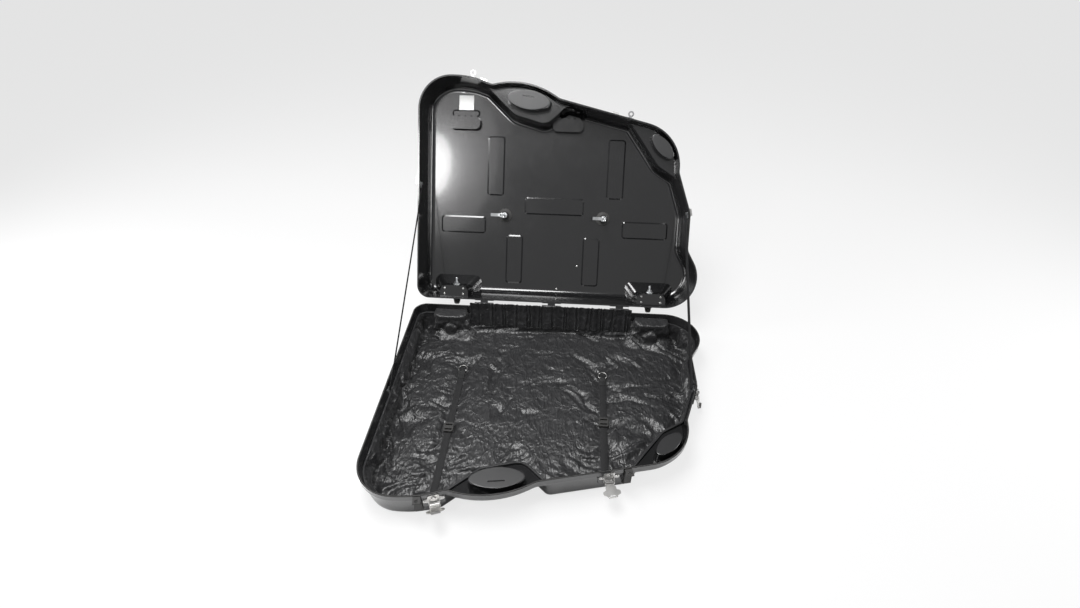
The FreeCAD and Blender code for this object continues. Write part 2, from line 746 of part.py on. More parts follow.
def grip_outlines(hand, u, grown):
    """Cup outline and finger lobes of a grip, as functions of an inset."""
    half_length = case.grip_length / 2
    half_width = case.grip_width / 2

    def cup(inset):
        corners = [(-half_length, -half_width), (half_length, -half_width),
                   (half_length, half_width), (-half_length, half_width)]
        points = [(Vector(u + x, case.grip_v + v, 0), half_width * 0.9) for x, v in corners]
        return rounded(in_plan(points, hand), inset - grown)

    pitch = (case.grip_length - case.grip_width) / (case.finger_count - 1)
    lobes = []
    for i in range(int(case.finger_count)):
        x = u + (i - (case.finger_count - 1) / 2) * pitch
        lobes.append(plan(x, case.grip_v + half_width - case.finger_radius / 2, hand))
    return cup, lobes


def grip(name, hand, u, grown):
    """Finger grip pressed into the lid's face, with lobes for the fingers and a shallow plate beside it."""
    cup, lobes = grip_outlines(hand, u, grown)
    mouth = case.half_depth + 1
    end = case.half_depth - case.grip_depth - grown
    solids = [recess(name + "_cup", cup, mouth, end, case.recess_flare)]
    for i, point in enumerate(lobes):
        lobe = doc.addObject("Part::Cylinder", f"{name}_lobe_{i}")
        lobe.Radius = case.finger_radius + grown
        lobe.Height = mouth - end
        lobe.Placement.Base = point - UP * mouth
        solids.append(lobe)
    return fuse(name, solids)


def pressed(name, hand, field, bend, grown):
    """Shallow field with sloping sides in the lid's face; field is its (u, v) corners, low and high."""
    (u0, v0), (u1, v1) = field
    corners = [(u0, v0), (u1, v0), (u1, v1), (u0, v1)]

    def outline(inset):
        return rounded(in_plan([(Vector(u, v, 0), bend) for u, v in corners], hand), inset)

    mouth = case.half_depth + case.wall
    end = case.half_depth - case.press_depth - grown
    return recess(name, outline, mouth, end, (mouth - end) * case.press_slope)


def grip_plates():
    """Fields beside the finger grips."""
    half_length = case.grip_length / 2 - case.press_bend
    low = case.grip_v + case.grip_width / 2 + 4 * case.wall
    fields = {}
    for side, u in (("left", case.grip_left), ("right", case.grip_right)):
        fields[f"plate_{side}"] = ((u - half_length, low), (u + half_length, low + case.grip_plate_width))
    return fields


def channels():
    """Stiffening channels round the two skewers, arranged as the sails of a windmill."""
    left, right, width = case.skewer_left_u, case.skewer_right_u, case.channel_width
    below = case.skewer_v - case.channel_offset - width
    above = case.skewer_v + case.channel_offset
    near, far = case.channel_gap, case.channel_reach
    low, high = case.channel_low, case.channel_high
    inner = case.channel_offset
    outer = case.channel_offset + width
    return {
        "side_left": ((left - far, below), (left - near, below + width)),
        "side_right": ((right + near, below), (right + far, below + width)),
        "middle": ((left + near, above), (right - near, above + width)),
        "low_left": ((left + inner, low), (left + outer, case.skewer_v - near)),
        "low_right": ((right - outer, low), (right - inner, case.skewer_v - near)),
        "high_left": ((left - outer, case.skewer_v + near), (left - inner, high)),
        "high_right": ((right + inner, case.skewer_v + near), (right + outer, high)),
    }


def half_shell(label, hand, frame, extras=()):
    """One moulded half. The hollow leaves wells, handle recesses and grips standing inside."""
    wall = case.wall
    outer_inset = case.band_step
    shelf_inset = outer_inset + 0.2
    outer = [
        tub(label + "_tub", hand, outer_inset, case.half_depth, case.floor_radius),
        shelf(label + "_shelf", hand, shelf_inset, case.shelf_depth, case.shelf_radius),
        rim_band(label + "_band", hand),
    ]
    hollow = [
        tub(label + "_tub_hollow", hand, outer_inset + wall, FLOOR, case.floor_radius - wall),
        shelf(label + "_shelf_hollow", hand, shelf_inset + wall, case.shelf_depth - wall,
              case.shelf_radius - wall),
    ]
    standing, spaces = [], []
    for side, u in well_places.items():
        standing.append(well(f"{label}_well_{side}_lining", hand, u, wall))
        spaces.append(well(f"{label}_well_{side}", hand, u, 0))
        if hand == LID_HAND:
            spaces += [cylinder(f"{label}_rivet_hole_{side}", spot - UP * 2 * wall, UP,
                                Radius="rivet_radius + rivet_clearance", Height="4 * wall")
                       for spot in well_rivet_spots(u)]
        drilled = plan(u, 0, hand) - UP * case.caster_drop - Vector(0, case.well_ceiling - 2, 0)
        spaces.append(cylinder(f"{label}_stem_hole_{side}", drilled, Vector(0, -1, 0),
                               Radius="kingpin_radius + rivet_clearance", Height="wall + 4"))
    island_top = case.rim_gap / 2
    grown_ovals, ovals = handle_ovals(hand, wall), handle_ovals(hand, 0)
    for name, grown_outline, outline in zip(("handle", "corner"), grown_ovals, ovals):
        mouth = case.shelf_depth + 1
        standing.append(recess(f"{label}_{name}_island", grown_outline, mouth, island_top, case.recess_flare))
        spaces.append(recess(f"{label}_{name}_recess", outline, mouth, island_top + wall, case.recess_flare))
    groove = prism(f"{label}_mark", handle_mark(hand), -island_top - case.mark_depth, "2 * mark_depth")
    spaces.append(groove)
    if hand == LID_HAND:
        for side, u in (("left", case.grip_left), ("right", case.grip_right)):
            standing.append(grip(f"{label}_grip_{side}_lining", hand, u, wall))
            spaces.append(grip(f"{label}_grip_{side}", hand, u, 0))
        for name, field in (grip_plates() | channels()).items():
            standing.append(pressed(f"{label}_{name}_lining", hand, field, case.press_bend, wall))
            spaces.append(pressed(f"{label}_{name}", hand, field, case.press_bend, 0))
    body = fuse(label + "_body", outer + list(extras))
    room = cut(label + "_room", fuse(label + "_hollow", hollow), standing)
    carved = cut(label + "_carved", body, [room])
    shell = cut(label + "_form", carved, spaces)
    if hand == BASE_HAND:
        shell = cut(label + "_grooved", shell, [rim_ring(label + "_groove", 0, "groove_depth")])
    return place(label, shell, frame)


def rim_ring(name, clearance, length):
    """Ring that runs round the base's rim: the groove, or the seal in it."""
    outer_inset = case.groove_inset + clearance
    inner_inset = case.groove_inset + case.groove_width - clearance
    outside = prism(name + "_outside", rim_outline(BASE_HAND, outer_inset), -case.groove_depth, length)
    inside = prism(name + "_inside", rim_outline(BASE_HAND, inner_inset), -case.groove_depth, length)
    return cut(name, outside, [inside])


def wall_pad(name, frame, width, top, bottom):
    """Flat pad moulded on the outer wall, from the rim band's face down the drafted wall."""
    depth_in = case.band_step + bottom * DRAFT + case.wall / 2
    pad = doc.addObject("Part::Box", name)
    pad.Length = width
    pad.Width = depth_in - case.pad_seat
    pad.Height = bottom - top
    local = base_frame.inverse() * frame
    pad.Placement = local * shift(-width / 2, -depth_in, -bottom)
    return pad


pad_start = case.band_height - 2
latch_foot = case.plate_top + case.plate_height + 6
bracket_end = case.bracket_drop + case.bracket_height
pads = [wall_pad(f"pad_{name}", frame, case.pad_width, pad_start, latch_foot)
        for name, frame in latch_sites.items()]
pads += [wall_pad(f"bracket_pad_{name}", frame, case.bracket_width + 4, pad_start, bracket_end)
         for name, frame in padlock_sites.items()]
half_shell("base_shell", BASE_HAND, base_frame, pads)
half_shell("lid_shell", LID_HAND, lid_frame)
place("rim_seal", rim_ring("seal_form", case.seal_clearance, "groove_depth + seal_proud"), base_frame)


# Padded lining of the base

def nut_cover(name, u, radius, reach):
    """Round space over a kingpin's nut, out from the well's ceiling."""
    foot = plan(u, case.well_ceiling) - UP * case.caster_drop
    return cylinder(name, foot, Vector(0, -1, 0), Radius=radius, Height=reach)


def lining():
    """Even layer over the floor, walls and wheel wells of the base, ending in a hem below the rim."""
    outside = case.band_step + case.wall + case.lining_clearance
    inside = outside + case.lining_thickness
    floor_out = FLOOR - case.lining_clearance
    floor_in = floor_out - case.lining_thickness
    radius_out = case.floor_radius - case.wall - case.lining_clearance
    radius_in = radius_out - case.lining_thickness
    layer = tub("lining_outside", BASE_HAND, outside, floor_out, radius_out)
    room = tub("lining_inside", BASE_HAND, inside, floor_in, radius_in)
    gap = case.wall + case.lining_clearance
    bare, covers, lids = [], [], []
    for side, u in well_places.items():
        bare.append(well(f"lining_well_{side}", BASE_HAND, u, gap))
        bare.append(nut_cover(f"lining_nut_{side}", u, "washer_radius + 1", "kingpin_short_stem + 1"))
        covers.append(well(f"lining_cover_{side}", BASE_HAND, u, gap + case.lining_thickness))
        covers.append(nut_cover(f"lining_nut_cover_{side}", u, "washer_radius + 1 + lining_thickness",
                                "kingpin_short_stem + 1 + lining_thickness"))
        lids.append(well(f"lining_lid_{side}", BASE_HAND, u, gap + case.lining_thickness))
    room_left = cut("lining_room", room, covers)
    above = box("lining_above", Vector(-case.case_length, -case.case_height, -case.lining_top),
                Length="2 * case_length", Width="2 * case_height", Height="2 * lining_top")
    form = cut("lining_form", layer, [room_left, cut("lining_trim", above, lids)] + bare)
    place("base_lining", form, base_frame)


def hinge_flap():
    """Loose flap of lining that hangs in folds before the rear wall, between the wells."""
    left, right = plan(case.flap_left, 0), plan(case.flap_right, 0)
    folds = int(case.flap_folds)
    path = []
    for i in range(folds + 1):
        x = left.x + (right.x - left.x) * i / folds
        path.append(Vector(x, case.flap_fold * (-1) ** i, 0))
    outline = strip(path, (right.x - left.x) / folds, case.flap_thickness)
    form = prism("flap_form", outline, 0, "flap_height")
    lined = case.band_step + case.wall + case.lining_clearance + case.lining_thickness
    drawn_in = lined + case.flap_drop * DRAFT + case.pad_seat + case.flap_fold + case.flap_thickness / 2
    leaning = Rotation(Vector(1, 0, 0), -case.draft_angle)
    place("lining_flap", form, base_frame * Placement(Vector(0, left.y - drawn_in, -case.flap_drop), leaning))


lining()
hinge_flap()


# Hinges

def knuckle_leaf(name, side, spans):
    """Leaf with its knuckles, the hinge axis on X; side is -1 for the base, 1 for the lid."""
    body = new_body(name)
    inner = -case.hinge_offset
    near = side * (case.leaf_clearance + case.rim_gap / 2)
    far = side * (case.leaf_clearance + case.rim_gap / 2 + case.leaf_height)
    half = case.leaf_width / 2
    add_feature(body, "Pad", rectangle(inner, min(near, far), inner + case.leaf_thickness, max(near, far)),
                "YZ_Plane", "leaf_width", start=-half)
    arm_near = side * case.leaf_clearance / 2
    arm_far = side * (case.knuckle_radius - 0.5)
    for x0, x1 in spans:
        length = f"{x1 - x0}"
        add_feature(body, "Pad", rectangle(inner, min(arm_near, arm_far), 0, max(arm_near, arm_far)),
                    "YZ_Plane", length, start=x0)
        add_feature(body, "Pad", [circle(0, 0, case.knuckle_radius)], "YZ_Plane", length, start=x0)
    add_feature(body, "Pocket", [circle(0, 0, case.hinge_pin_radius + case.fit_clearance)],
                "YZ_Plane", "2 * leaf_width", start=-case.leaf_width, back=True)
    return body


def hinges():
    half = case.leaf_width / 2
    inner = half - case.knuckle_length
    lid_half = inner - case.knuckle_clearance
    base_leaf = knuckle_leaf("base_leaf_form", -1, [(-half, -inner), (inner, half)])
    lid_leaf = knuckle_leaf("lid_leaf_form", 1, [(-lid_half, lid_half)])
    pin = cylinder("hinge_pin_form", Vector(-half, 0, 0), Vector(1, 0, 0),
                   Radius="hinge_pin_radius", Height="leaf_width")
    places = []
    for i in range(int(case.hinge_count)):
        x = case.hinge_first + i * case.hinge_pitch - MID_U
        places.append(shift(x, HINGE.y, HINGE.z))
    place_group("hinge_leaves_base", base_leaf, places)
    place_group("hinge_leaves_lid", lid_leaf, [opened * spot for spot in places])
    place_group("hinge_pins", pin, places)


hinges()


# Casters, along Z from the well's ceiling, with the wheel trailing towards -X

def caster_forms():
    fork_top = case.race_thickness + case.pad_seat
    fork_low = fork_top + case.fork_plate
    head_top = fork_low + case.pad_seat
    kingpins = {}
    for half, stem in (("base", case.kingpin_short_stem), ("lid", case.kingpin_stem)):
        kingpins[half] = revolved(f"kingpin_form_{half}", [
            (0, -stem, 0),
            (case.kingpin_radius, -stem, 1),
            (case.kingpin_radius, 0, 0),
            (case.race_radius, 0, 0),
            (case.race_radius, case.race_thickness, 1),
            (case.journal_radius, case.race_thickness, 0),
            (case.journal_radius, head_top, 0),
            (case.pin_head_radius, head_top, 0),
            (case.pin_head_radius, head_top + case.pin_head_thickness, 1),
            (0, head_top + case.pin_head_thickness, 0),
        ])
    hole = case.kingpin_radius + case.rivet_clearance
    washer = new_body("washer_form")
    add_feature(washer, "Pad", [circle(0, 0, case.washer_radius), circle(0, 0, hole)], "XY_Plane",
                "washer_thickness", start=-case.wall - case.washer_thickness)
    nut = new_body("nut_form")
    across = case.nut_width / math.sqrt(3)
    hexagon = rounded([(polar(across, 60 * i), 0) for i in range(6)])
    add_feature(nut, "Pad", hexagon + [circle(0, 0, hole)], "XY_Plane", "nut_height",
                start=-case.wall - case.washer_thickness - case.nut_height)
    return kingpins, washer, nut, fork_form(fork_top, fork_low), axle_form(), wheel_form()


def fork_form(fork_top, fork_low):
    """Pressed fork: round crown on the kingpin and two cheeks that trail to the axle."""
    body = new_body("fork_form")
    crown = case.fork_crown_radius
    add_feature(body, "Pad", [circle(0, 0, crown), circle(0, 0, case.journal_radius + case.fit_clearance)],
                "XY_Plane", "fork_plate", start=fork_top)
    eye = case.fork_eye_radius
    cheek = rounded([
        (Vector(-crown * 0.85, fork_top, 0), 0),
        (Vector(crown * 0.6, fork_top, 0), 0),
        (Vector(crown * 0.6, fork_low + 6, 0), 5),
        (Vector(-case.caster_trail + eye, case.caster_reach + eye, 0), eye * 0.95),
        (Vector(-case.caster_trail - eye, case.caster_reach + eye, 0), eye * 0.95),
        (Vector(-case.caster_trail - eye, case.caster_reach - eye * 2, 0), 6),
    ])
    bore = circle(-case.caster_trail, case.caster_reach, case.axle_radius)
    for start, back in ((case.fork_gap / 2, False), (-case.fork_gap / 2, True)):
        add_feature(body, "Pad", cheek + [bore], "XZ_Plane", "fork_cheek", start=start, back=back)
    return body


def axle_form():
    half = case.fork_gap / 2 + case.fork_cheek
    head = case.axle_head_height
    return revolved("axle_form", [
        (0, -half - head, 0),
        (case.axle_head_radius, -half - head, 1),
        (case.axle_head_radius, -half, 0),
        (case.axle_radius, -half, 0),
        (case.axle_radius, half, 0),
        (case.axle_head_radius, half, 0),
        (case.axle_head_radius, half + head, 1),
        (0, half + head, 0),
    ])


def wheel_form():
    """Caster wheel: rounded tread, dished sides and a hub."""
    half = case.wheel_width / 2
    bore = case.axle_radius + case.fit_clearance
    hub = case.axle_radius * 2.4
    rim = case.wheel_radius * 0.76
    dish = half * 0.62
    side = [(bore, half, 0), (hub, half, 0), (hub * 1.1, dish, 0), (rim * 0.94, dish, 0),
            (rim, half * 0.95, 0), (case.wheel_radius, half * 0.95, case.tread_radius)]
    mirrored = [(x, -z, bend) for x, z, bend in reversed(side)]
    return revolved("wheel_form", mirrored + side)


def casters():
    kingpins, washer, nut, fork, axle, wheel = caster_forms()
    fixed = {"base": [], "lid": []}
    outwards = Rotation(Vector(0, 0, 1), Vector(-1, 0, 0), Vector(0, 1, 0), "ZXY")
    hub_turn = Placement(Vector(-case.caster_trail, 0, case.caster_reach), Rotation(Vector(1, 0, 0), 90))
    for half, frame, hand in (("base", base_frame, BASE_HAND), ("lid", lid_frame, LID_HAND)):
        for side, u in well_places.items():
            foot = plan(u, case.well_ceiling, hand) - UP * case.caster_drop
            stand = frame * Placement(foot, outwards)
            fixed[half].append(stand)
            place(f"caster_fork_{half}_{side}", fork, stand)
            place(f"caster_axle_{half}_{side}", axle, stand * hub_turn)
            place(f"caster_wheel_{half}_{side}", wheel, stand * hub_turn)
        place_group(f"caster_kingpins_{half}", kingpins[half], fixed[half])
        place_group(f"caster_washers_{half}", washer, fixed[half])
        place_group(f"caster_nuts_{half}", nut, fixed[half])


casters()


# Draw latches

def latch_plate_form():
    """Riveted plate with round ears and two cheeks that hold the lever's pin."""
    body = new_body("latch_plate_form")
    half = case.plate_width / 2
    top = -case.plate_top
    foot = top - case.plate_height
    reach = case.ear_span / 2 + case.ear_radius
    ear_low = -case.ear_drop - case.ear_radius
    ear_high = -case.ear_drop + case.ear_radius
    ear_bend = case.ear_radius * 0.98
    side = [(half, foot, 3), (half, ear_low, 3), (reach, ear_low, ear_bend), (reach, ear_high, ear_bend),
            (half, ear_high, 3), (half, top, 5)]
    outline = [(Vector(x, z, 0), bend) for x, z, bend in side]
    outline += [(Vector(-x, z, 0), bend) for x, z, bend in reversed(side)]
    holes = [circle(x, z, case.rivet_radius + case.rivet_clearance) for x, z in ear_places()]
    add_feature(body, "Pad", rounded(outline) + holes, "XZ_Plane", "plate_thickness", back=True)
    pivot = Vector(case.latch_pivot_out, -case.latch_pivot_drop, 0)
    inner = case.plate_thickness / 2
    outer = pivot.x + case.cheek_radius
    cheek = rounded([
        (Vector(inner, foot, 0), 0),
        (Vector(outer, foot, 0), case.cheek_radius * 0.8),
        (Vector(outer, pivot.y + case.cheek_radius, 0), case.cheek_radius),
        (Vector(inner, pivot.y + 2.4 * case.cheek_radius, 0), 0),
    ])
    for start in (case.cheek_gap / 2, -case.cheek_gap / 2 - case.cheek_thickness):
        add_feature(body, "Pad", cheek + [circle(pivot.x, pivot.y, case.latch_pin_radius)], "YZ_Plane",
                    "cheek_thickness", start=start)
    return body


def ear_places():
    return [(-case.ear_span / 2, -case.ear_drop), (case.ear_span / 2, -case.ear_drop)]


def lever_form():
    """Winged lever with a claw, its pin on X through the origin and its length along Z."""
    body = new_body("lever_form")
    near = case.latch_hub_radius - case.lever_thickness
    face = case.latch_hub_radius
    hub = case.latch_hub_width / 2
    waist = case.lever_waist / 2
    wing = case.lever_width / 2
    end = case.lever_tip_width / 2
    tip = case.lever_length
    side = [(hub, 0, 0), (hub, tip * 0.22, 3), (waist, tip * 0.3, 4), (waist, tip * 0.48, 5),
            (wing, tip * 0.56, 5), (wing, tip * 0.76, 6), (end, tip * 0.88, 5), (end, tip, 3)]
    outline = [(Vector(x, z, 0), bend) for x, z, bend in side]
    outline += [(Vector(-x, z, 0), bend) for x, z, bend in reversed(side)]
    window = rectangle(-end * 0.6, tip * 0.82, end * 0.6, tip * 0.9, tip * 0.03)
    add_feature(body, "Pad", rounded(outline) + window, "XZ_Plane", "lever_thickness", start=-near, back=True)
    add_feature(body, "Pad", [circle(0, 0, case.latch_hub_radius)], "YZ_Plane", "latch_hub_width", start=-hub)
    claw = rectangle(face - case.lever_claw, tip - case.lever_thickness, face, tip)
    add_feature(body, "Pad", claw, "YZ_Plane", "lever_tip_width - 4", start=-end + 2)
    add_feature(body, "Pocket", [circle(0, 0, case.latch_pin_radius + case.fit_clearance)], "YZ_Plane",
                "2 * latch_hub_width", start=-case.latch_hub_width, back=True)
    return body


def rivet_form():
    """Domed rivet, its head outwards along Y from the seat at y = 0."""
    body = revolved("rivet_form", [
        (0, -case.plate_thickness, 0),
        (case.rivet_radius, -case.plate_thickness, 0),
        (case.rivet_radius, 0, 0),
        (case.rivet_head_radius, 0, 0),
        (case.rivet_head_radius, case.rivet_head_height, case.rivet_head_height * 0.8),
        (0, case.rivet_head_height, 0),
    ])
    return body


def lock_form():
    body = new_body("lock_form")
    z = -case.plate_top - case.lock_radius - 6
    slot = rectangle(-case.key_slot_width / 2, z - case.key_slot_length / 2,
                     case.key_slot_width / 2, z + case.key_slot_length / 2)
    add_feature(body, "Pad", [circle(0, z, case.lock_radius)], "XZ_Plane", "lock_height",
                start=-case.plate_thickness, back=True)
    add_feature(body, "Pocket", slot, "XZ_Plane", "lock_height / 2",
                start=-case.plate_thickness - case.lock_height)
    return body


def keeper_form():
    """Riveted keeper on the lid's rim band, with the lip that the claw pulls on."""
    body = new_body("keeper_form")
    low = case.rim_gap + 1
    half = case.keeper_width / 2
    holes = [circle(x, low + case.keeper_height * 0.62, case.rivet_radius + case.rivet_clearance)
             for x in (-case.keeper_pitch / 2, case.keeper_pitch / 2)]
    add_feature(body, "Pad", rectangle(-half, low, half, low + case.keeper_height, 3) + holes, "XZ_Plane",
                "plate_thickness", back=True)
    lip = rectangle(case.plate_thickness / 2, low, case.plate_thickness + case.keeper_lip,
                    low + case.keeper_lip_thickness)
    add_feature(body, "Pad", lip, "YZ_Plane", "keeper_width - 6", start=-half + 3)
    return body


def latches():
    plate, lever, lock, rivet = latch_plate_form(), lever_form(), lock_form(), rivet_form()
    keeper = keeper_form()
    pin_end = Vector(-case.cheek_gap / 2 - case.cheek_thickness, 0, 0)
    pin = cylinder("latch_pin_form", pin_end, Vector(1, 0, 0),
                   Radius="latch_pin_radius", Height="cheek_gap + 2 * cheek_thickness")
    pivot = shift(0, case.latch_pivot_out, -case.latch_pivot_drop)
    turns = {"front_left": case.lever_front_left_angle, "front_right": case.lever_front_right_angle}
    rivets, keeper_rivets = [], []
    on_plate = Rotation(UP, Vector(0, 1, 0))
    for name, frame in latch_sites.items():
        place(f"latch_plate_{name}", plate, frame)
        turned = Rotation(Vector(1, 0, 0), -turns.get(name, case.lever_side_angle))
        place(f"latch_lever_{name}", lever, frame * pivot * Placement(Vector(), turned))
        rivets += [frame * Placement(Vector(x, case.plate_thickness, z), on_plate) for x, z in ear_places()]
        height = case.rim_gap + 1 + case.keeper_height * 0.62
        for x in (-case.keeper_pitch / 2, case.keeper_pitch / 2):
            head = Placement(Vector(x, case.plate_thickness, height), on_plate)
            keeper_rivets.append(opened * frame * head)
    frames = list(latch_sites.values())
    place_group("latch_locks", lock, frames)
    place_group("latch_pins", pin, [frame * pivot for frame in frames])
    place_group("latch_rivets", rivet, rivets)
    place_group("latch_keepers", keeper, [opened * frame for frame in frames])
    place_group("keeper_rivets", rivet, keeper_rivets)
    spots = [spot for u in well_places.values() for spot in well_rivet_spots(u)]
    place_group("well_rivets", rivet, [lid_frame * Placement(spot, Rotation()) for spot in spots])


latches()


# Padlock points

def padlock_eye_form():
    """Steel eye on the lid: riveted foot and a flat tongue with a round eye, parallel to the rim."""
    body = new_body("padlock_eye_form")
    low = case.rim_gap + case.eye_lift
    half = case.eye_foot_width / 2
    foot = rectangle(-half, low, half, low + case.eye_foot_height, 3)
    add_feature(body, "Pad", foot, "XZ_Plane", "eye_thickness", back=True)
    neck = case.eye_neck / 2
    add_feature(body, "Pad", rectangle(-neck, case.eye_thickness / 2, neck, case.eye_reach), "XY_Plane",
                "eye_thickness", start=low)
    add_feature(body, "Pad", [circle(0, case.eye_reach, case.eye_radius)], "XY_Plane",
                "eye_thickness", start=low)
    add_feature(body, "Pocket", [circle(0, case.eye_reach, case.eye_hole_radius)], "XY_Plane",
                "4 * eye_thickness", start=low - case.eye_thickness, back=True)
    return body


def lock_bracket_form():
    """Black bracket on the base: a slim rib whose top flange carries the padlock's hole."""
    body = new_body("lock_bracket_form")
    top = -case.bracket_drop
    foot = top - case.bracket_height
    flange = top - case.bracket_shelf
    rib = case.bracket_foot
    profile = rounded([
        (Vector(0, top, 0), 0),
        (Vector(case.bracket_reach, top, 0), 2),
        (Vector(case.bracket_reach, flange, 0), 2),
        (Vector(rib, flange, 0), 2),
        (Vector(rib, foot + rib, 0), rib),
        (Vector(0, foot, 0), 0),
    ])
    add_feature(body, "Pad", profile, "YZ_Plane", "bracket_width", start=-case.bracket_width / 2)
    add_feature(body, "Pocket", [circle(0, case.eye_reach, case.eye_hole_radius)], "XY_Plane",
                "2 * bracket_shelf", start=top)
    return body


def padlock_points():
    frames = list(padlock_sites.values())
    place_group("padlock_eyes", padlock_eye_form(), [opened * frame for frame in frames])
    place_group("lock_brackets", lock_bracket_form(), frames)


padlock_points()


# Stay straps between the halves

def stay_anchor_form():
    """Anchor plate on the inner wall with a bar for the strap; the wall is at y = 0, the room towards -Y."""
    body = new_body("stay_anchor_form")
    half = case.anchor_width / 2
    tall = case.anchor_height / 2
    slot = rectangle(-case.stay_width / 2 - 1, -tall + 3, case.stay_width / 2 + 1, -tall + 6.5)
    add_feature(body, "Pad", rectangle(-half, -tall, half, tall, 3) + slot, "XZ_Plane", "anchor_thickness")
    return body


def stays():
    anchor = stay_anchor_form()
    base_anchors, lid_anchors = [], []
    right_u = on_side_slant(case.stay_right_v).x
    seat = case.band_step + case.wall + case.stay_drop * DRAFT + case.pad_seat
    tilt = Rotation(Vector(1, 0, 0), -case.draft_angle)
    left = site(0, case.stay_v), 0, 0
    right = site(right_u, case.stay_right_v), case.anchor_sag, case.stay_twist
    for side, (frame, sag, twist) in (("left", left), ("right", right)):
        low = frame * Placement(Vector(0, -seat - sag, -case.stay_drop), tilt)
        above = Vector(0, -seat - sag, case.rim_gap + case.stay_drop)
        high = opened * frame * Placement(above, tilt.inverted())
        base_anchors.append(low)
        lid_anchors.append(high)
        stay_strap(side, low, high, twist)
    place_group("stay_anchors_base", anchor, base_anchors)
    place_group("stay_anchors_lid", anchor, lid_anchors)


def stay_facing(start, end, twist):
    along = (end - start).normalize()
    level = Rotation(Vector(1, 0, 0), along.cross(Vector(1, 0, 0)), along, "ZXY")
    return Rotation(along, twist) * level


def stay_strap(side, low, high, twist):
    """Taut webbing between the anchors, set clear of both plates; twist turns it about its length."""
    facing = stay_facing(low.Base, high.Base, twist)
    ends = []
    for anchor in (low, high):
        normal = anchor.Rotation.multVec(Vector(0, -1, 0))
        across = abs(normal.dot(facing.multVec(Vector(1, 0, 0)))) * case.stay_thickness / 2
        across += abs(normal.dot(facing.multVec(Vector(0, 1, 0)))) * case.stay_width / 2
        ends.append(anchor.Base + normal * (case.anchor_thickness + case.pad_seat + across))
    start, end = ends
    strap = doc.addObject("Part::Box", f"stay_form_{side}")
    bind(strap, Length="stay_thickness", Width="stay_width")
    strap.Height = (end - start).Length
    strap.Placement.Base = Vector(-case.stay_thickness / 2, -case.stay_width / 2, 0)
    place(f"stay_strap_{side}", strap, Placement(start, stay_facing(start, end, twist)))


stays()


# Tie straps on the lining

def front_wall_y(x, inset):
    """Y of the deep tub's front wall at one X."""
    wire = Part.Wire([edge.toShape() for edge in deep_outline(BASE_HAND, inset)])
    line = Part.makeLine(Vector(x, -case.case_height, 0), Vector(x, 0, 0))
    return wire.distToShape(line)[1][0][0].y


def tie_strap(side, u):
    """Webbing down the lined front wall and along the floor: its front end, rear end, middle and lean."""
    x = plan(u, 0).x
    lined = case.band_step + case.wall + case.lining_clearance + case.lining_thickness
    floor = -(FLOOR - case.lining_clearance - case.lining_thickness) + case.pad_seat + case.tie_thickness / 2
    stand_off = case.pad_seat + case.tie_thickness / 2 + case.tie_width * 0.2
    low = front_wall_y(x, lined - floor * DRAFT) + stand_off
    high = front_wall_y(x, lined + case.tie_front_drop * DRAFT) + stand_off
    rear = plan(u, case.tie_rear_v).y
    path = [Vector(high, -case.tie_front_drop, 0), Vector(low, floor, 0), Vector(rear, floor, 0)]
    body = new_body(f"tie_form_{side}")
    add_feature(body, "Pad", strip(path, case.tie_bend, case.tie_thickness), "YZ_Plane", "tie_width",
                start=x - case.tie_width / 2)
    place(f"tie_strap_{side}", body, base_frame)
    lean = math.degrees(math.atan2(low - high, -case.tie_front_drop - floor))
    front, middle = Vector(x, high, -case.tie_front_drop), Vector(x, (low + rear) / 2, floor)
    return front, Vector(x, rear, floor), middle, lean


def ring_form():
    """Welded ring of eight-sided wire."""
    wire = [polar(case.ring_wire, 22.5 + 45 * i) for i in range(8)]
    return revolved("ring_form", [(case.ring_radius + point.x, point.y, 0) for point in wire])


def buckle_form():
    """Cam buckle: frame with two slots for the webbing."""
    body = new_body("buckle_form")
    half_length = case.buckle_length / 2
    half_width = case.buckle_width / 2
    slots = []
    for y in (-half_length * 0.5, half_length * 0.5):
        slots += rectangle(-case.tie_width / 2, y - 3, case.tie_width / 2, y + 3)
    frame = rectangle(-half_width, -half_length, half_width, half_length, 5)
    add_feature(body, "Pad", frame + slots, "XY_Plane", "buckle_height")
    return body


def ties():
    rings, buckles = [], []
    for side, u in (("left", case.tie_left_u), ("right", case.tie_right_u)):
        front, rear, middle, lean = tie_strap(side, u)
        reach = case.ring_radius + case.ring_wire + case.tie_thickness / 2 + case.pad_seat
        flat = case.tie_thickness / 2 + case.ring_wire + case.pad_seat
        leaning = Rotation(Vector(1, 0, 0), lean)
        upright = leaning * Rotation(Vector(1, 0, 0), 90)
        rings.append(base_frame * Placement(front + leaning.multVec(Vector(0, flat, 0)), upright))
        rings.append(base_frame * Placement(rear + Vector(0, -reach / 2, flat), Rotation()))
        on_strap = middle + UP * (case.tie_thickness / 2 + case.pad_seat)
        buckles.append(base_frame * Placement(on_strap, Rotation()))
    place_group("tie_rings", ring_form(), rings)
    place_group("tie_buckles", buckle_form(), buckles)


ties()


# Wheel skewers in the lid, along Z from the lid's inner face

def cam_height():
    return case.post_height + case.skewer_length + case.cam_radius + case.pad_seat


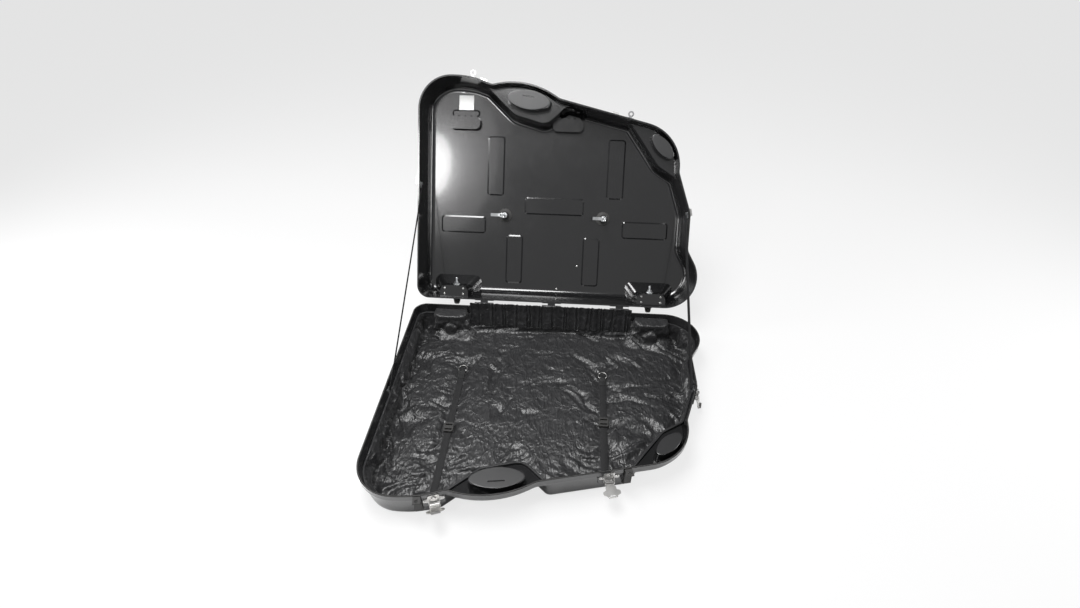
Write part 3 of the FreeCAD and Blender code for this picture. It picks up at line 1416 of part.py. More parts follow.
def skewer_forms():
    post = revolved("post_form", [
        (0, 0, 0),
        (case.post_radius, 0, 0),
        (case.post_radius, case.post_foot, 1.5),
        (case.post_top_radius * 1.25, case.post_foot * 2, 6),
        (case.post_top_radius, case.post_height, 2),
        (0, case.post_height, 0),
    ])
    rod = new_body("skewer_form")
    add_feature(rod, "Pad", [circle(0, 0, case.skewer_radius)], "XY_Plane", "skewer_length",
                start=case.post_height)
    half = case.cam_radius * 0.75
    low = case.post_height + case.skewer_length - 1
    high = cam_height() + half
    tongue = rounded([
        (Vector(-half, low, 0), half / 2),
        (Vector(half, low, 0), half / 2),
        (Vector(half, high, 0), half * 0.98),
        (Vector(-half, high, 0), half * 0.98),
    ])
    add_feature(rod, "Pad", tongue + [circle(0, cam_height(), case.cam_pin_radius)], "XZ_Plane",
                "tongue_thickness", start=-case.tongue_thickness / 2)
    nut = new_body("skewer_nut_form")
    add_feature(nut, "Pad", [circle(0, 0, case.skewer_nut_radius),
                             circle(0, 0, case.skewer_radius + case.rivet_clearance)],
                "XY_Plane", "skewer_nut_height", start=case.post_height + case.pad_seat)
    pin = cylinder("cam_pin_form", Vector(0, -case.cam_length / 2, cam_height()), Vector(0, 1, 0),
                   Radius="cam_pin_radius", Height="cam_length")
    return post, rod, nut, pin


def cam_lever_form():
    """Slotted cam on its pin across the rod's end, with a curved lever that lies across the rod."""
    body = new_body("cam_lever_form")
    half = case.cam_length / 2
    bore = circle(0, 0, case.cam_pin_radius + case.fit_clearance)
    add_feature(body, "Pad", [circle(0, 0, case.cam_radius)], "XZ_Plane", "cam_length", start=-half)
    thick = case.cam_lever_thickness
    level = case.cam_radius - thick / 2
    reach = case.cam_lever_length
    path = [Vector(0, level, 0), Vector(reach * 0.45, level, 0), Vector(reach, level + 1.2 * thick, 0)]
    add_feature(body, "Pad", strip(path, reach, thick), "XZ_Plane", "cam_length * 7 / 10", start=-half * 0.7)
    side = case.cam_radius + 1
    slot = rectangle(-side, -side, side, side)
    add_feature(body, "Pocket", slot, "XZ_Plane", "tongue_thickness + 2 * pad_seat",
                start=-case.tongue_thickness / 2 - case.pad_seat, back=True)
    add_feature(body, "Pocket", [bore], "XZ_Plane", "2 * cam_length", start=-case.cam_length, back=True)
    return body


def skewers():
    post, rod, nut, pin = skewer_forms()
    lever = cam_lever_form()
    stands = []
    for side, u in (("left", case.skewer_left_u), ("right", case.skewer_right_u)):
        stand = lid_frame * Placement(plan(u, case.skewer_v, LID_HAND) - UP * FLOOR, Rotation())
        stands.append(stand)
        place(f"skewer_rod_{side}", rod, stand)
        place(f"skewer_lever_{side}", lever, stand * shift(0, 0, cam_height()))
    place_group("skewer_posts", post, stands)
    place_group("skewer_nuts", nut, stands)
    place_group("skewer_pins", pin, stands)


skewers()


# Check every object, then write each sub-part

doc.recompute()
for item in doc.Objects:
    if "Invalid" in item.State or "Error" in item.State:
        raise RuntimeError(f"{item.Label} failed: {item.State}")
for part in nodes:
    if part.Shape.isNull() or not part.Shape.isValid() or not part.Shape.Solids:
        raise RuntimeError(f"{part.Label} has no valid solid")
os.makedirs("parts", exist_ok=True)
for part in nodes:
    part.Shape.exportStep(f"parts/{part.Label}.step")
    print(part.Label, len(part.Shape.Solids), round(part.Shape.Volume))
print("sub-parts", len(nodes))
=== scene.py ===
import bpy
import json
import math
import numpy as np
from mathutils import Matrix, Vector, noise
from mathutils.bvhtree import BVHTree

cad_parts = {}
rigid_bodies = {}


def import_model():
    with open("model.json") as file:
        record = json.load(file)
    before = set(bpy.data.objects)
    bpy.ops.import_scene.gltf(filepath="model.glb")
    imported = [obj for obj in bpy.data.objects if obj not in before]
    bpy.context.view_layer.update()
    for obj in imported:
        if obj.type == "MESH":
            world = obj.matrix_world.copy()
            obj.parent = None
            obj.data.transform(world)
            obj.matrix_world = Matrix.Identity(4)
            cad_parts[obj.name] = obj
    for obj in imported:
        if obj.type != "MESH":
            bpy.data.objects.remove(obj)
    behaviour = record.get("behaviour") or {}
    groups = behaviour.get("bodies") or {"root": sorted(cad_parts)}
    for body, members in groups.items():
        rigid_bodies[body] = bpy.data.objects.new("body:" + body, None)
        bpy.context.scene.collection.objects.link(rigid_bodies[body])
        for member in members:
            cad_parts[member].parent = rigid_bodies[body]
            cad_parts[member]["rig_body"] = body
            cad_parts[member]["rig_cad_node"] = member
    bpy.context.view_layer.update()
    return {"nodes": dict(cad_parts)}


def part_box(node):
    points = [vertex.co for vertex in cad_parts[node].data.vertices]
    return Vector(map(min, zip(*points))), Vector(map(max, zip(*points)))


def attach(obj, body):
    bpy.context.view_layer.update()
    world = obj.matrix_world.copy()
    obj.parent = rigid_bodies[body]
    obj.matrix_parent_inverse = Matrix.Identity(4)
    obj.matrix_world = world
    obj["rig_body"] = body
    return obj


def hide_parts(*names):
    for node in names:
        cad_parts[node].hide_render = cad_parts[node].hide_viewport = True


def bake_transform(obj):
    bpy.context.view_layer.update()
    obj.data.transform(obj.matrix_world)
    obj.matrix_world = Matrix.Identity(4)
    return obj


# Looks of a hard-shell travel case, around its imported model. Metres, X along the hinge, Z up.

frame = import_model()
nodes = frame["nodes"]


# Moulded halves: glossy black plastic, thermoformed in one sheet each, with matte islands
# where the hand goes round the handle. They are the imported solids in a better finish.

class Value:
    """A socket of a finish; arithmetic on it adds Math nodes."""

    def __init__(self, tree, socket=None):
        self.tree = tree
        self.socket = socket

    def node(self, kind, settings, inputs, output=0):
        """Any other node: its type, its settings, then the values or links of its sockets."""
        made = self.tree.nodes.new(kind)
        for key, setting in settings.items():
            setattr(made, key, setting)
        for key, value in inputs.items():
            if isinstance(value, Value):
                self.tree.links.new(value.socket, made.inputs[key])
            else:
                made.inputs[key].default_value = value
        return Value(self.tree, made.outputs[output])

    def maths(self, operation, first, second=0.0):
        return self.node("ShaderNodeMath", {"operation": operation}, {0: first, 1: second})

    def __add__(self, other):
        return self.maths("ADD", self, other)

    def __radd__(self, other):
        return self.maths("ADD", other, self)

    def __sub__(self, other):
        return self.maths("SUBTRACT", self, other)

    def __rsub__(self, other):
        return self.maths("SUBTRACT", other, self)

    def __mul__(self, other):
        return self.maths("MULTIPLY", self, other)

    def __rmul__(self, other):
        return self.maths("MULTIPLY", other, self)

    def __abs__(self):
        return self.maths("ABSOLUTE", self)

    def __gt__(self, other):
        return self.maths("GREATER_THAN", self, other)

    def __lt__(self, other):
        return self.maths("LESS_THAN", self, other)

    def power(self, exponent):
        return self.maths("POWER", self, exponent)

    def along(self, direction, origin=(0, 0, 0)):
        """How far a position lies along a direction."""
        moved = self.node("ShaderNodeVectorMath", {"operation": "SUBTRACT"}, {0: self, 1: origin})
        return self.node("ShaderNodeVectorMath", {"operation": "DOT_PRODUCT"},
                         {0: moved, 1: direction}, "Value")

    def grain(self, scale, detail=2.0, stretch=(1, 1, 1)):
        """Noise over a position, finer with scale."""
        moved = self.node("ShaderNodeMapping", {}, {"Vector": self, "Scale": stretch})
        return self.node("ShaderNodeTexNoise", {}, {"Vector": moved, "Scale": scale, "Detail": detail})

    def swirl(self, scale, detail=2.0):
        """Noise as a direction, to warp a position by."""
        return self.node("ShaderNodeTexNoise", {},
                         {"Vector": self, "Scale": scale, "Detail": detail}, "Color")

    def clamped(self):
        """This value kept from 0 to 1."""
        return self.maths("MINIMUM", self.maths("MAXIMUM", self, 0), 1)

    def ridge(self):
        """Sharp creases along the middle level of a noise."""
        return (1 - abs(self * 2 - 1)).power(3)

    def between(self, low, high):
        """This value from 0 to 1 spread over a range."""
        return self * (high - low) + low

    def tint(self, dark, pale):
        """Colour that goes from dark to pale with this value."""
        return self.node("ShaderNodeMix", {"data_type": "RGBA"},
                         {"Factor": self, 6: (*dark, 1), 7: (*pale, 1)}, 2)

    def bump(self, strength, depth):
        """A normal that leans as this height does, its unit being the depth."""
        return self.node("ShaderNodeBump", {}, {"Height": self, "Strength": strength, "Distance": depth})


def new_finish(name, **fixed):
    """A material with its shader, and a position on the piece to paint by."""
    material = bpy.data.materials.new(name)
    material.use_nodes = True
    shader = material.node_tree.nodes["Principled BSDF"]
    for key, setting in fixed.items():
        shader.inputs[key.replace("_", " ").title().replace("Ior", "IOR")].default_value = setting
    place = Value(material.node_tree).node("ShaderNodeTexCoord", {}, {}, "Object")
    return material, shader, place


def feed(shader, **painted):
    """Link what varies over the surface to the shader's sockets."""
    for key, value in painted.items():
        value.tree.links.new(value.socket, shader.inputs[key.replace("_", " ").title()])


def dress(material, *names):
    """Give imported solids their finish."""
    for name in names:
        mesh = nodes[name].data
        mesh.materials.clear()
        mesh.materials.append(material)


ISLAND_DROP = 0.001
LENS_POWER = 1.8


def shell_finish(name, islands, facing, rim_height):
    """Gloss black with orange peel, matte on the handle islands that lie level with the rim.

    An island is its middle, its direction, its half length and its half width.
    """
    material, shader, place = new_finish(name, specular_ior_level=0.55, coat_roughness=0.06)
    peel = place.grain(420, 3)
    cloud = place.grain(7, 4)
    scuff = place.grain(60, 6, (1, 1, 0.15))
    near_rim = place.along(facing) > rim_height - ISLAND_DROP
    spread = None
    for middle, along, half_length, half_width in islands:
        across = facing.cross(along)
        reach = abs(place.along(along, middle) * (1 / half_length))
        side = abs(place.along(across, middle) * (1 / half_width))
        lens = reach.power(LENS_POWER) + side.power(LENS_POWER)
        spread = lens if spread is None else lens.maths("MINIMUM", lens, spread)
    island = (spread < 1.2) * near_rim
    lip = ((spread - 0.88) * 8).clamped() * island
    matte = island * (1 - lip * 0.8)
    gloss = cloud.between(0.10, 0.24) + scuff.power(6) * 0.25
    feed(shader,
         base_color=(island * 0.85 + cloud * 0.15).tint((0.006, 0.006, 0.0064), (0.014, 0.014, 0.0147)),
         roughness=gloss * (1 - matte) + matte * (0.38 + peel * 0.12),
         coat_weight=(1 - matte) * 0.35,
         normal=(peel * 0.09 + matte * peel * 0.18 - lip.power(2) * 1.1).bump(0.9, 0.001))
    return material


OPEN = math.radians(121)
HINGE = Vector((0, 0.4725, 0.1305))
swing = Matrix.Rotation(-OPEN, 3, "X")
RIM = 0.130
RIM_GAP = 0.001
MIDDLE_U, MIDDLE_V = 588.5, 457.5


def on_lid(u, v, depth):
    """Point of the opened lid, in mm from its left side, its hinge wall and its rim."""
    closed = Vector(((u - MIDDLE_U) / 1000, (MIDDLE_V - v) / 1000, RIM + RIM_GAP + depth / 1000))
    return swing @ (closed - HINGE) + HINGE


def on_base(u, v, depth):
    """Point of the base, in mm from its left side, its hinge wall and its rim."""
    return Vector(((u - MIDDLE_U) / 1000, (MIDDLE_V - v) / 1000, RIM - depth / 1000))


# Each handle: u and v of its middle, its turn in degrees, its half length and half width in metres.
HANDLES = ((452, 825, 7.3, 0.0889, 0.0382), (1001, 658, 46.6, 0.060, 0.0267))
base_islands, lid_islands = [], []
for u, v, turn, length, width in HANDLES:
    along = Vector((math.cos(math.radians(turn)), math.sin(math.radians(turn)), 0))
    base_islands.append((on_base(u, v, 0), along, length, width))
    lid_islands.append((on_lid(u, v, 0), swing @ along, length, width))
base_facing = Vector((0, 0, 1))
lid_facing = swing @ Vector((0, 0, -1))
dress(shell_finish("base_moulding", base_islands, base_facing, RIM), "base_shell")
dress(shell_finish("lid_moulding", lid_islands, lid_facing, lid_facing.dot(on_lid(0, 0, 0))), "lid_shell")


# Rim seal: a soft black rubber profile, extruded by the metre and pressed into the groove of the
# base's rim, where the lid's rim closes on it.

def rubber_finish(name, shade):
    """Dull black rubber or moulded plastic with some dust."""
    material, shader, place = new_finish(name)
    dust = place.grain(90, 5)
    feed(shader, base_color=dust.tint((shade, shade, shade), (shade * 2.2, shade * 2.1, shade * 2)),
         roughness=dust.between(0.55, 0.8), normal=place.grain(900, 2).bump(0.3, 0.0003))
    return material


dress(rubber_finish("seal_rubber", 0.018), "rim_seal")


# Padded lining of the base: black satin nylon over thin foam, laid loose over the floor, walls
# and wheel wells, so that it stands in creases. Tie straps press it down, and a hem holds its edge.

def cloth_finish(name, dark, pale):
    """Satin cloth: wandering folds, finer creases and a weave. Its colour is painted paler along the
    ridges of the folds, a painted sheen on the creases, and varies at random with the finer creases.
    """
    material, shader, place = new_finish(name, sheen_weight=0.08, sheen_roughness=0.35,
                                         specular_ior_level=0.6)
    wander = place.node("ShaderNodeVectorMath", {"operation": "SCALE"},
                        {0: place.swirl(9, 2), "Scale": 0.05})
    drawn = place.node("ShaderNodeVectorMath", {"operation": "ADD"}, {0: place, 1: wander})
    fold = drawn.grain(17, 2).ridge() * 0.6 + drawn.grain(31, 2, (1.6, 0.7, 1)).ridge() * 0.4
    fine = drawn.grain(80, 3, (1, 2.6, 1))
    weave = place.grain(1500, 1)
    # Colour: paler on the fold ridges, a painted sheen on the creases; the fine creases add random tone.
    feed(shader, base_color=(fold * 0.6 + fine * 0.4).tint(dark, pale),
         roughness=fine.between(0.3, 0.48),
         normal=(fold * 0.9 + fine * 0.11 + weave * 0.015).bump(0.75, 0.007))
    return material


lining_cloth = cloth_finish("lining_satin", (0.006, 0.006, 0.0065), (0.022, 0.022, 0.023))


def fresh_copy(node, name):
    """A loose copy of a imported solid, its corners merged."""
    bpy.ops.object.select_all(action="DESELECT")
    piece = nodes[node].copy()
    piece.data = nodes[node].data.copy()
    piece.name = name
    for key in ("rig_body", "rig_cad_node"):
        del piece[key]
    piece.parent = None
    bpy.context.collection.objects.link(piece)
    piece.hide_viewport = piece.hide_render = False
    piece.hide_set(False)
    piece.data.materials.clear()
    bpy.context.view_layer.objects.active = piece
    piece.select_set(True)
    bpy.ops.object.mode_set(mode="EDIT")
    bpy.ops.mesh.select_all(action="SELECT")
    bpy.ops.mesh.remove_doubles(threshold=0.00002)
    bpy.ops.object.mode_set(mode="OBJECT")
    return piece


def positions(mesh):
    """All corners of a mesh, one row each."""
    places = np.empty(len(mesh.vertices) * 3, np.float32)
    mesh.vertices.foreach_get("co", places)
    return places.reshape(-1, 3)


def set_positions(mesh, places):
    """Move all corners of a mesh."""
    mesh.vertices.foreach_set("co", places.astype(np.float32).ravel())
    mesh.update()


LINING_VOXEL = 0.0056
BACKED_GAP = 0.0032
LINING_RISE, LINING_SINK, LINING_MOVE = 0.011, 0.005, 0.013
CLOTH_STEPS = 20
# Each tie strap on the lining: its x, the y of its front end and the y of its buckle.
TIES_ON_LINING = ((-0.3505, -0.42, -0.101), (0.2085, -0.30, -0.039))
TIE_REAR_Y = 0.222
TIE_SIDE, BUCKLE_SIDE, BUCKLE_HALF = 0.017, 0.021, 0.024
NUT_X, NUT_Z, NUT_FRONT_Y, NUT_COVER = (-0.4345, 0.4075), 0.052, 0.365, 0.027
HEM_FOOT_Z = 0.095
SLACK_SLOPE, HEM_SLOPE = 0.4, 0.35
BEHIND_FLAP_X, BEHIND_FLAP_Y, BEHIND_FLAP_Z = (-0.36, 0.33), 0.395, 0.035
BEHIND_FLAP_ROOM, TIED_ROOM, FULL_ROOM = 0.001, 0.0004, 0.008
LAID_DROP, LAID_LOW, LAID_HIGH = 0.001, -0.0045, 0.009
lining = fresh_copy("base_lining", "padded_lining")
voxels = lining.modifiers.new("even_mesh", "REMESH")
voxels.mode = "VOXEL"
voxels.voxel_size = LINING_VOXEL
bpy.ops.object.modifier_apply(modifier="even_mesh")
shell_tree = BVHTree.FromPolygons([v.co for v in nodes["base_shell"].data.vertices],
                                  [p.vertices for p in nodes["base_shell"].data.polygons])
start = positions(lining.data)
outward = np.array([v.normal for v in lining.data.vertices])
gap = np.array([shell_tree.find_nearest(Vector(p))[3] for p in start])
backed = gap < BACKED_GAP


def lining_room(places):
    """How high the cloth may stand: nothing under straps, buckles, nuts and flap, little near the hem."""
    room = np.full(len(places), LINING_RISE)
    x, y, z = places.T
    for strap_x, front_y, buckle_y in TIES_ON_LINING:
        aside = np.abs(x - strap_x)
        past = np.maximum(y - TIE_REAR_Y, 0) + np.maximum(front_y - y, 0)
        beside = np.hypot(aside, past) - TIE_SIDE
        past_buckle = np.maximum(np.abs(y - buckle_y) - BUCKLE_HALF, 0)
        beside_buckle = np.hypot(aside, past_buckle) - BUCKLE_SIDE
        room = np.minimum(room, np.maximum(beside, 0) * SLACK_SLOPE)
        room = np.minimum(room, np.maximum(beside_buckle, 0) * SLACK_SLOPE)
    room = np.minimum(room, np.maximum(HEM_FOOT_Z - z, 0) * HEM_SLOPE)
    for nut_x in NUT_X:
        cover = np.hypot(np.hypot(x - nut_x, z - NUT_Z), np.minimum(y - NUT_FRONT_Y, 0))
        room = np.minimum(room, np.maximum(cover - NUT_COVER, 0) * SLACK_SLOPE)
    between_wells = (x > BEHIND_FLAP_X[0]) & (x < BEHIND_FLAP_X[1])
    behind = between_wells & (y > BEHIND_FLAP_Y) & (z > BEHIND_FLAP_Z)
    room[behind] = np.minimum(room[behind], BEHIND_FLAP_ROOM)
    return room


room = lining_room(start)
tied = room < TIED_ROOM
held = lining.vertex_groups.new(name="held")
held.add([int(i) for i in np.flatnonzero(backed | tied)], 1.0, "REPLACE")
free = ~(backed | tied)


def crumple(place):
    """Long ridges of slack cloth, in metres, that wander over the lining as creases do."""
    x, y, z = (float(c) for c in place)
    lean = 2.4 * noise.noise(Vector((x * 2.7, y * 2.7, 1)))
    along = x * math.cos(lean) + y * math.sin(lean)
    across = y * math.cos(lean) - x * math.sin(lean)
    broad = 1 - abs(noise.noise(Vector((along * 4, across * 11, z * 9))))
    sharp = 1 - abs(noise.noise(Vector((along * 10 + 5, across * 27, z * 16))))
    return 0.0080 * (broad ** 4 - 0.35) + 0.0056 * (sharp ** 5 - 0.25)


slack = np.zeros(len(start))
slack[free] = [crumple(p) for p in start[free]]
share = np.clip(room / FULL_ROOM, 0, 1)
laid = np.clip(slack * share - LAID_DROP, LAID_LOW, LAID_HIGH)
set_positions(lining.data, start + outward * laid[:, None] * free[:, None])
cloth = lining.modifiers.new("creasing", "CLOTH")
cloth.settings.quality = 4
cloth.settings.mass = 0.12
cloth.settings.tension_stiffness = 12
cloth.settings.compression_stiffness = 12
cloth.settings.shear_stiffness = 3
cloth.settings.bending_stiffness = 0.7
cloth.settings.shrink_min = -0.10
cloth.settings.use_pressure = True
cloth.settings.uniform_pressure_force = 1.0
cloth.settings.vertex_group_mass = "held"
cloth.settings.effector_weights.gravity = 0
cloth.collision_settings.use_collision = False
for step in range(1, CLOTH_STEPS + 1):
    bpy.context.scene.frame_set(step)
bpy.ops.object.modifier_apply(modifier="creasing")
bpy.context.scene.frame_set(1)
move = positions(lining.data) - start
rise = (move * outward).sum(1)
move += outward * (np.clip(rise, -LINING_SINK, room) - rise)[:, None]
length = np.linalg.norm(move, axis=1)
move *= np.minimum(1, LINING_MOVE / np.maximum(length, 1e-9))[:, None]
set_positions(lining.data, start + move)
bpy.ops.object.shade_smooth()
lining.data.materials.append(lining_cloth)
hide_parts("base_lining")
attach(lining, "base")


# Hem of the lining: a folded binding tape of black polyester, sewn round the lining's upper edge
# and a little proud of it.

HEM_Z, HEM_SPREAD = 0.096, 0.0015
HEM_SEAT, HEM_HEIGHT, HEM_FOLD = 0.0003, 0.0065, 0.0012
hem = fresh_copy("base_lining", "lining_hem")
bpy.ops.object.mode_set(mode="EDIT")
bpy.ops.mesh.select_mode(type="FACE")
bpy.ops.mesh.select_all(action="DESELECT")
bpy.ops.object.mode_set(mode="OBJECT")
for face in hem.data.polygons:
    face.select = face.normal.z < 0.9 or abs(face.center.z - HEM_Z) > HEM_SPREAD
bpy.ops.object.mode_set(mode="EDIT")
bpy.ops.mesh.delete(type="FACE")
bpy.ops.mesh.select_all(action="SELECT")
bpy.ops.transform.translate(value=(0, 0, -HEM_SEAT))
bpy.ops.mesh.extrude_region_move(TRANSFORM_OT_translate={"value": (0, 0, -HEM_HEIGHT)})
bpy.ops.mesh.select_all(action="SELECT")
bpy.ops.mesh.normals_make_consistent(inside=False)
bpy.ops.mesh.dissolve_limited(angle_limit=math.radians(4))
bpy.ops.mesh.select_mode(type="VERT")
bpy.ops.object.mode_set(mode="OBJECT")
folded = hem.modifiers.new("folded_edge", "BEVEL")
folded.width = HEM_FOLD
folded.segments = 2
folded.limit_method = "ANGLE"
folded.angle_limit = math.radians(60)
bpy.ops.object.modifier_apply(modifier="folded_edge")
bpy.ops.object.shade_smooth_by_angle(angle=math.radians(50))
tape, shader, place = new_finish("hem_tape", specular_ior_level=0.35)
stitch = place.grain(600, 2, (1, 1, 3))
feed(shader, base_color=stitch.tint((0.006, 0.006, 0.0066), (0.024, 0.024, 0.025)),
     roughness=stitch.between(0.45, 0.7), normal=stitch.bump(0.4, 0.0006))
hem.data.materials.append(tape)
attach(hem, "base")


# Hinge flap: a loose strip of the same nylon, gathered on a stiff hem that stands up over the gap
# of the hinges. It hangs before the rear wall in uneven pleats, and its foot is stitched.

FLAP_X = (-0.3515, 0.3235)
FLAP_TOP, FLAP_RIM, FLAP_FOOT = 0.162, 0.127, 0.0455
FLAP_THICK = 0.0012
WALL_DRAFT = math.radians(8)
FLAP_COLUMNS, FLAP_ROWS = 420, 40
PLEATS = 58
PLEAT_LEAST, PLEAT_GROWTH, PLEAT_SWAY = 0.0016, 0.0024, 0.0022
CRUMPLE_DEPTH, CRUMPLE_HANG = 0.0022, 0.0012
SEAM_AT, SEAM_WIDTH = 0.93, 0.02
flap_low, flap_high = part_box("lining_flap")
bpy.ops.object.select_all(action="DESELECT")
bpy.ops.mesh.primitive_grid_add(x_subdivisions=FLAP_COLUMNS, y_subdivisions=FLAP_ROWS, size=1)
flap = bpy.context.object
flap.name = "hinge_flap"
flat = positions(flap.data)
across, down = flat[:, 0] + 0.5, 0.5 - flat[:, 1]
turns = across * PLEATS + 0.9 * np.sin(across * 31) + 0.7 * np.sin(across * 83 + 1)
pleat = np.sin(turns * math.pi + 0.8 * np.sin(down * 3 + across * 40))
fine = np.array([noise.noise(Vector((a * 60, d * 5, 3))) for a, d in zip(across, down)])
slack = PLEAT_LEAST + PLEAT_GROWTH * np.sin(np.clip(down, 0, 1) * math.pi * 0.55)
seam = np.exp(-((down - SEAM_AT) / SEAM_WIDTH) ** 2)
middle_y = (flap_low[1] + flap_high[1]) / 2
hang = np.empty_like(flat)
hang[:, 2] = FLAP_TOP + (FLAP_FOOT - FLAP_TOP) * down + CRUMPLE_HANG * fine * down
hang[:, 0] = FLAP_X[0] + (FLAP_X[1] - FLAP_X[0]) * across + PLEAT_SWAY * np.cos(turns * math.pi) * down
below_rim = np.minimum(hang[:, 2], FLAP_RIM) - (FLAP_RIM + FLAP_FOOT) / 2
lean_y = middle_y + below_rim * math.tan(WALL_DRAFT)
lean_y -= np.maximum(hang[:, 2] - FLAP_RIM, 0) * 0.1
hang[:, 1] = lean_y - slack * (1 - 0.5 * seam) * pleat - CRUMPLE_DEPTH * fine
set_positions(flap.data, hang)
weight = flap.modifiers.new("cloth_weight", "SOLIDIFY")
weight.thickness = FLAP_THICK
weight.offset = 0
bpy.ops.object.modifier_apply(modifier="cloth_weight")
bpy.ops.object.mode_set(mode="EDIT")
bpy.ops.mesh.select_all(action="SELECT")
bpy.ops.mesh.normals_make_consistent(inside=False)
bpy.ops.object.mode_set(mode="OBJECT")
bpy.ops.object.shade_smooth()
flap.data.materials.append(lining_cloth)
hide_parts("lining_flap")
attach(flap, "base")


# Hinges: pairs of black steel leaves, pressed from sheet with rolled knuckles and riveted to the
# hinge walls of both halves, on bright zinc-plated pins.

def metal_finish(name, colour, smooth, rough, metallic=1.0):
    """Metal with fine directional wear and cloudy handling marks."""
    material, shader, place = new_finish(name, metallic=metallic)
    wear = place.grain(140, 5, (1, 1, 0.08))
    cloud = place.grain(24, 4)
    pale = [min(1, part * 1.12 + 0.005) for part in colour]
    feed(shader, base_color=(wear * 0.5 + cloud * 0.5).tint(colour, pale),
         roughness=(wear * 0.4 + cloud * 0.6).between(smooth, rough),
         normal=wear.bump(0.12, 0.0003))
    return material


black_steel = metal_finish("black_steel", (0.022, 0.022, 0.023), 0.28, 0.5, 0.35)
zinc = metal_finish("zinc_plate", (0.50, 0.51, 0.52), 0.25, 0.46)
dress(black_steel, "hinge_leaves_base", "hinge_leaves_lid")
dress(zinc, "hinge_pins")


# Casters: pressed zinc-plated forks turning on threaded kingpins through the wells, with dark
# rubber wheels on plain axles.

caster_rubber = rubber_finish("caster_rubber", 0.022)
for half in ("base", "lid"):
    dress(zinc, f"caster_kingpins_{half}", f"caster_washers_{half}", f"caster_nuts_{half}")
    for side in ("left", "right"):
        dress(zinc, f"caster_fork_{half}_{side}", f"caster_axle_{half}_{side}")
        dress(caster_rubber, f"caster_wheel_{half}_{side}")


# Draw latches: nickel-plated plates, winged levers, key locks and pins on the base, keepers on the
# lid. All are pressed from sheet and riveted through the rim band.

nickel = metal_finish("nickel_plate", (0.45, 0.445, 0.435), 0.24, 0.44)
latch_names = ("front_left", "front_right", "left", "right")
dress(nickel, "latch_locks", "latch_pins", "latch_rivets", "latch_keepers", "keeper_rivets", "well_rivets")
dress(nickel, *[f"latch_plate_{name}" for name in latch_names])
dress(nickel, *[f"latch_lever_{name}" for name in latch_names])


# Padlock points: steel eyes riveted on the lid's edge, over black moulded brackets on the base's
# band, so that a padlock joins the two halves.

black_plastic = rubber_finish("black_plastic", 0.012)
dress(metal_finish("eye_steel", (0.20, 0.20, 0.205), 0.3, 0.5), "padlock_eyes")
dress(black_plastic, "lock_brackets")


# Lid stays: flat black webbing from an anchor plate inside the base's rim to one inside the lid's.
# The webbing is modelled taut, as it stands while the case is open; on the real case it folds between the
# halves as it shuts.

RIBS = 3600


def webbing_finish(name, along):
    """Woven band: ribs across it with a painted highlight on their crests, and paler where it is worn."""
    material, shader, place = new_finish(name, specular_ior_level=0.3)
    step = place.along(along) * RIBS
    rib = step.maths("SINE", step) * 0.5 + 0.5
    wear = place.grain(220, 4)
    # Colour: the rib crests paler, a painted highlight on the ribs; the wear paler, as real wear.
    feed(shader, base_color=(rib * 0.5 + wear * 0.5).tint((0.003, 0.003, 0.0034), (0.013, 0.013, 0.0137)),
         roughness=wear.between(0.5, 0.75), normal=(rib + wear * 0.5).bump(0.5, 0.0005))
    return material


def edit(piece):
    """Open one piece in edit mode, with all of it selected."""
    bpy.ops.object.select_all(action="DESELECT")
    bpy.context.view_layer.objects.active = piece
    piece.select_set(True)
    bpy.ops.object.mode_set(mode="EDIT")
    bpy.ops.mesh.select_all(action="SELECT")


def settle():
    """Turn the faces outwards, leave edit mode and put the place into the mesh."""
    bpy.ops.mesh.normals_make_consistent(inside=False)
    bpy.ops.object.mode_set(mode="OBJECT")
    bpy.ops.object.transform_apply(location=True, rotation=True, scale=True)


def round_selvedge(strap, width, sharpest):
    """Round a strap's edges that are sharper than an angle in degrees."""
    rounding = strap.modifiers.new("selvedge", "BEVEL")
    rounding.width = width
    rounding.segments = 2
    rounding.limit_method = "ANGLE"
    rounding.angle_limit = math.radians(sharpest)
    bpy.ops.object.modifier_apply(modifier="selvedge")
    bpy.ops.object.shade_smooth_by_angle(angle=math.radians(40))


STAY_CUTS = 60
for side in ("left", "right"):
    corners = positions(nodes[f"stay_strap_{side}"].data)
    middle = corners.mean(0)
    axes = np.linalg.svd(corners - middle, full_matrices=False)[2]
    if axes[0][2] < 0:
        axes[0] *= -1
    axes[2] = np.cross(axes[0], axes[1])
    half_size = np.abs((corners - middle) @ axes.T).max(0)
    bpy.ops.object.select_all(action="DESELECT")
    bpy.ops.mesh.primitive_cube_add(size=2)
    strap = bpy.context.object
    strap.name = f"stay_webbing_{side}"
    strap.scale = half_size
    strap.rotation_euler = Matrix(axes.T.tolist()).to_euler()
    strap.location = middle
    bpy.ops.object.transform_apply(location=True, rotation=True, scale=True)
    edit(strap)
    for cut in range(1, STAY_CUTS):
        bpy.ops.mesh.select_all(action="SELECT")
        spot = middle + axes[0] * half_size[0] * (2 * cut / STAY_CUTS - 1)
        bpy.ops.mesh.bisect(plane_co=spot, plane_no=axes[0])
    bpy.ops.mesh.select_all(action="SELECT")
    settle()
    round_selvedge(strap, 0.0005, 30)
    strap.data.materials.append(webbing_finish(f"stay_webbing_{side}", axes[0]))
    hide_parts(f"stay_strap_{side}")
    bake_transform(strap)
dress(zinc, "stay_anchors_base", "stay_anchors_lid")


# Tie straps: black webbing down the front wall and along the floor, folded back on itself round a
# steel ring at both ends and stitched there. A black buckle slides on each.

TIE_WIDTH, TIE_THICK = 0.025, 0.0019
TIE_BEND, TIE_PITCH = 0.0034, 0.012
FLOOR_Z, TIE_TOP_Z, TIE_TURN_Y, TIE_FOOT_RUN = 0.0119, 0.0672, 0.1955, 0.0079
TIE_WALLS = (("left", -0.3505, -0.4172), ("right", 0.2085, -0.2943))
tie_webbing = webbing_finish("tie_webbing", (0, 1, 0))


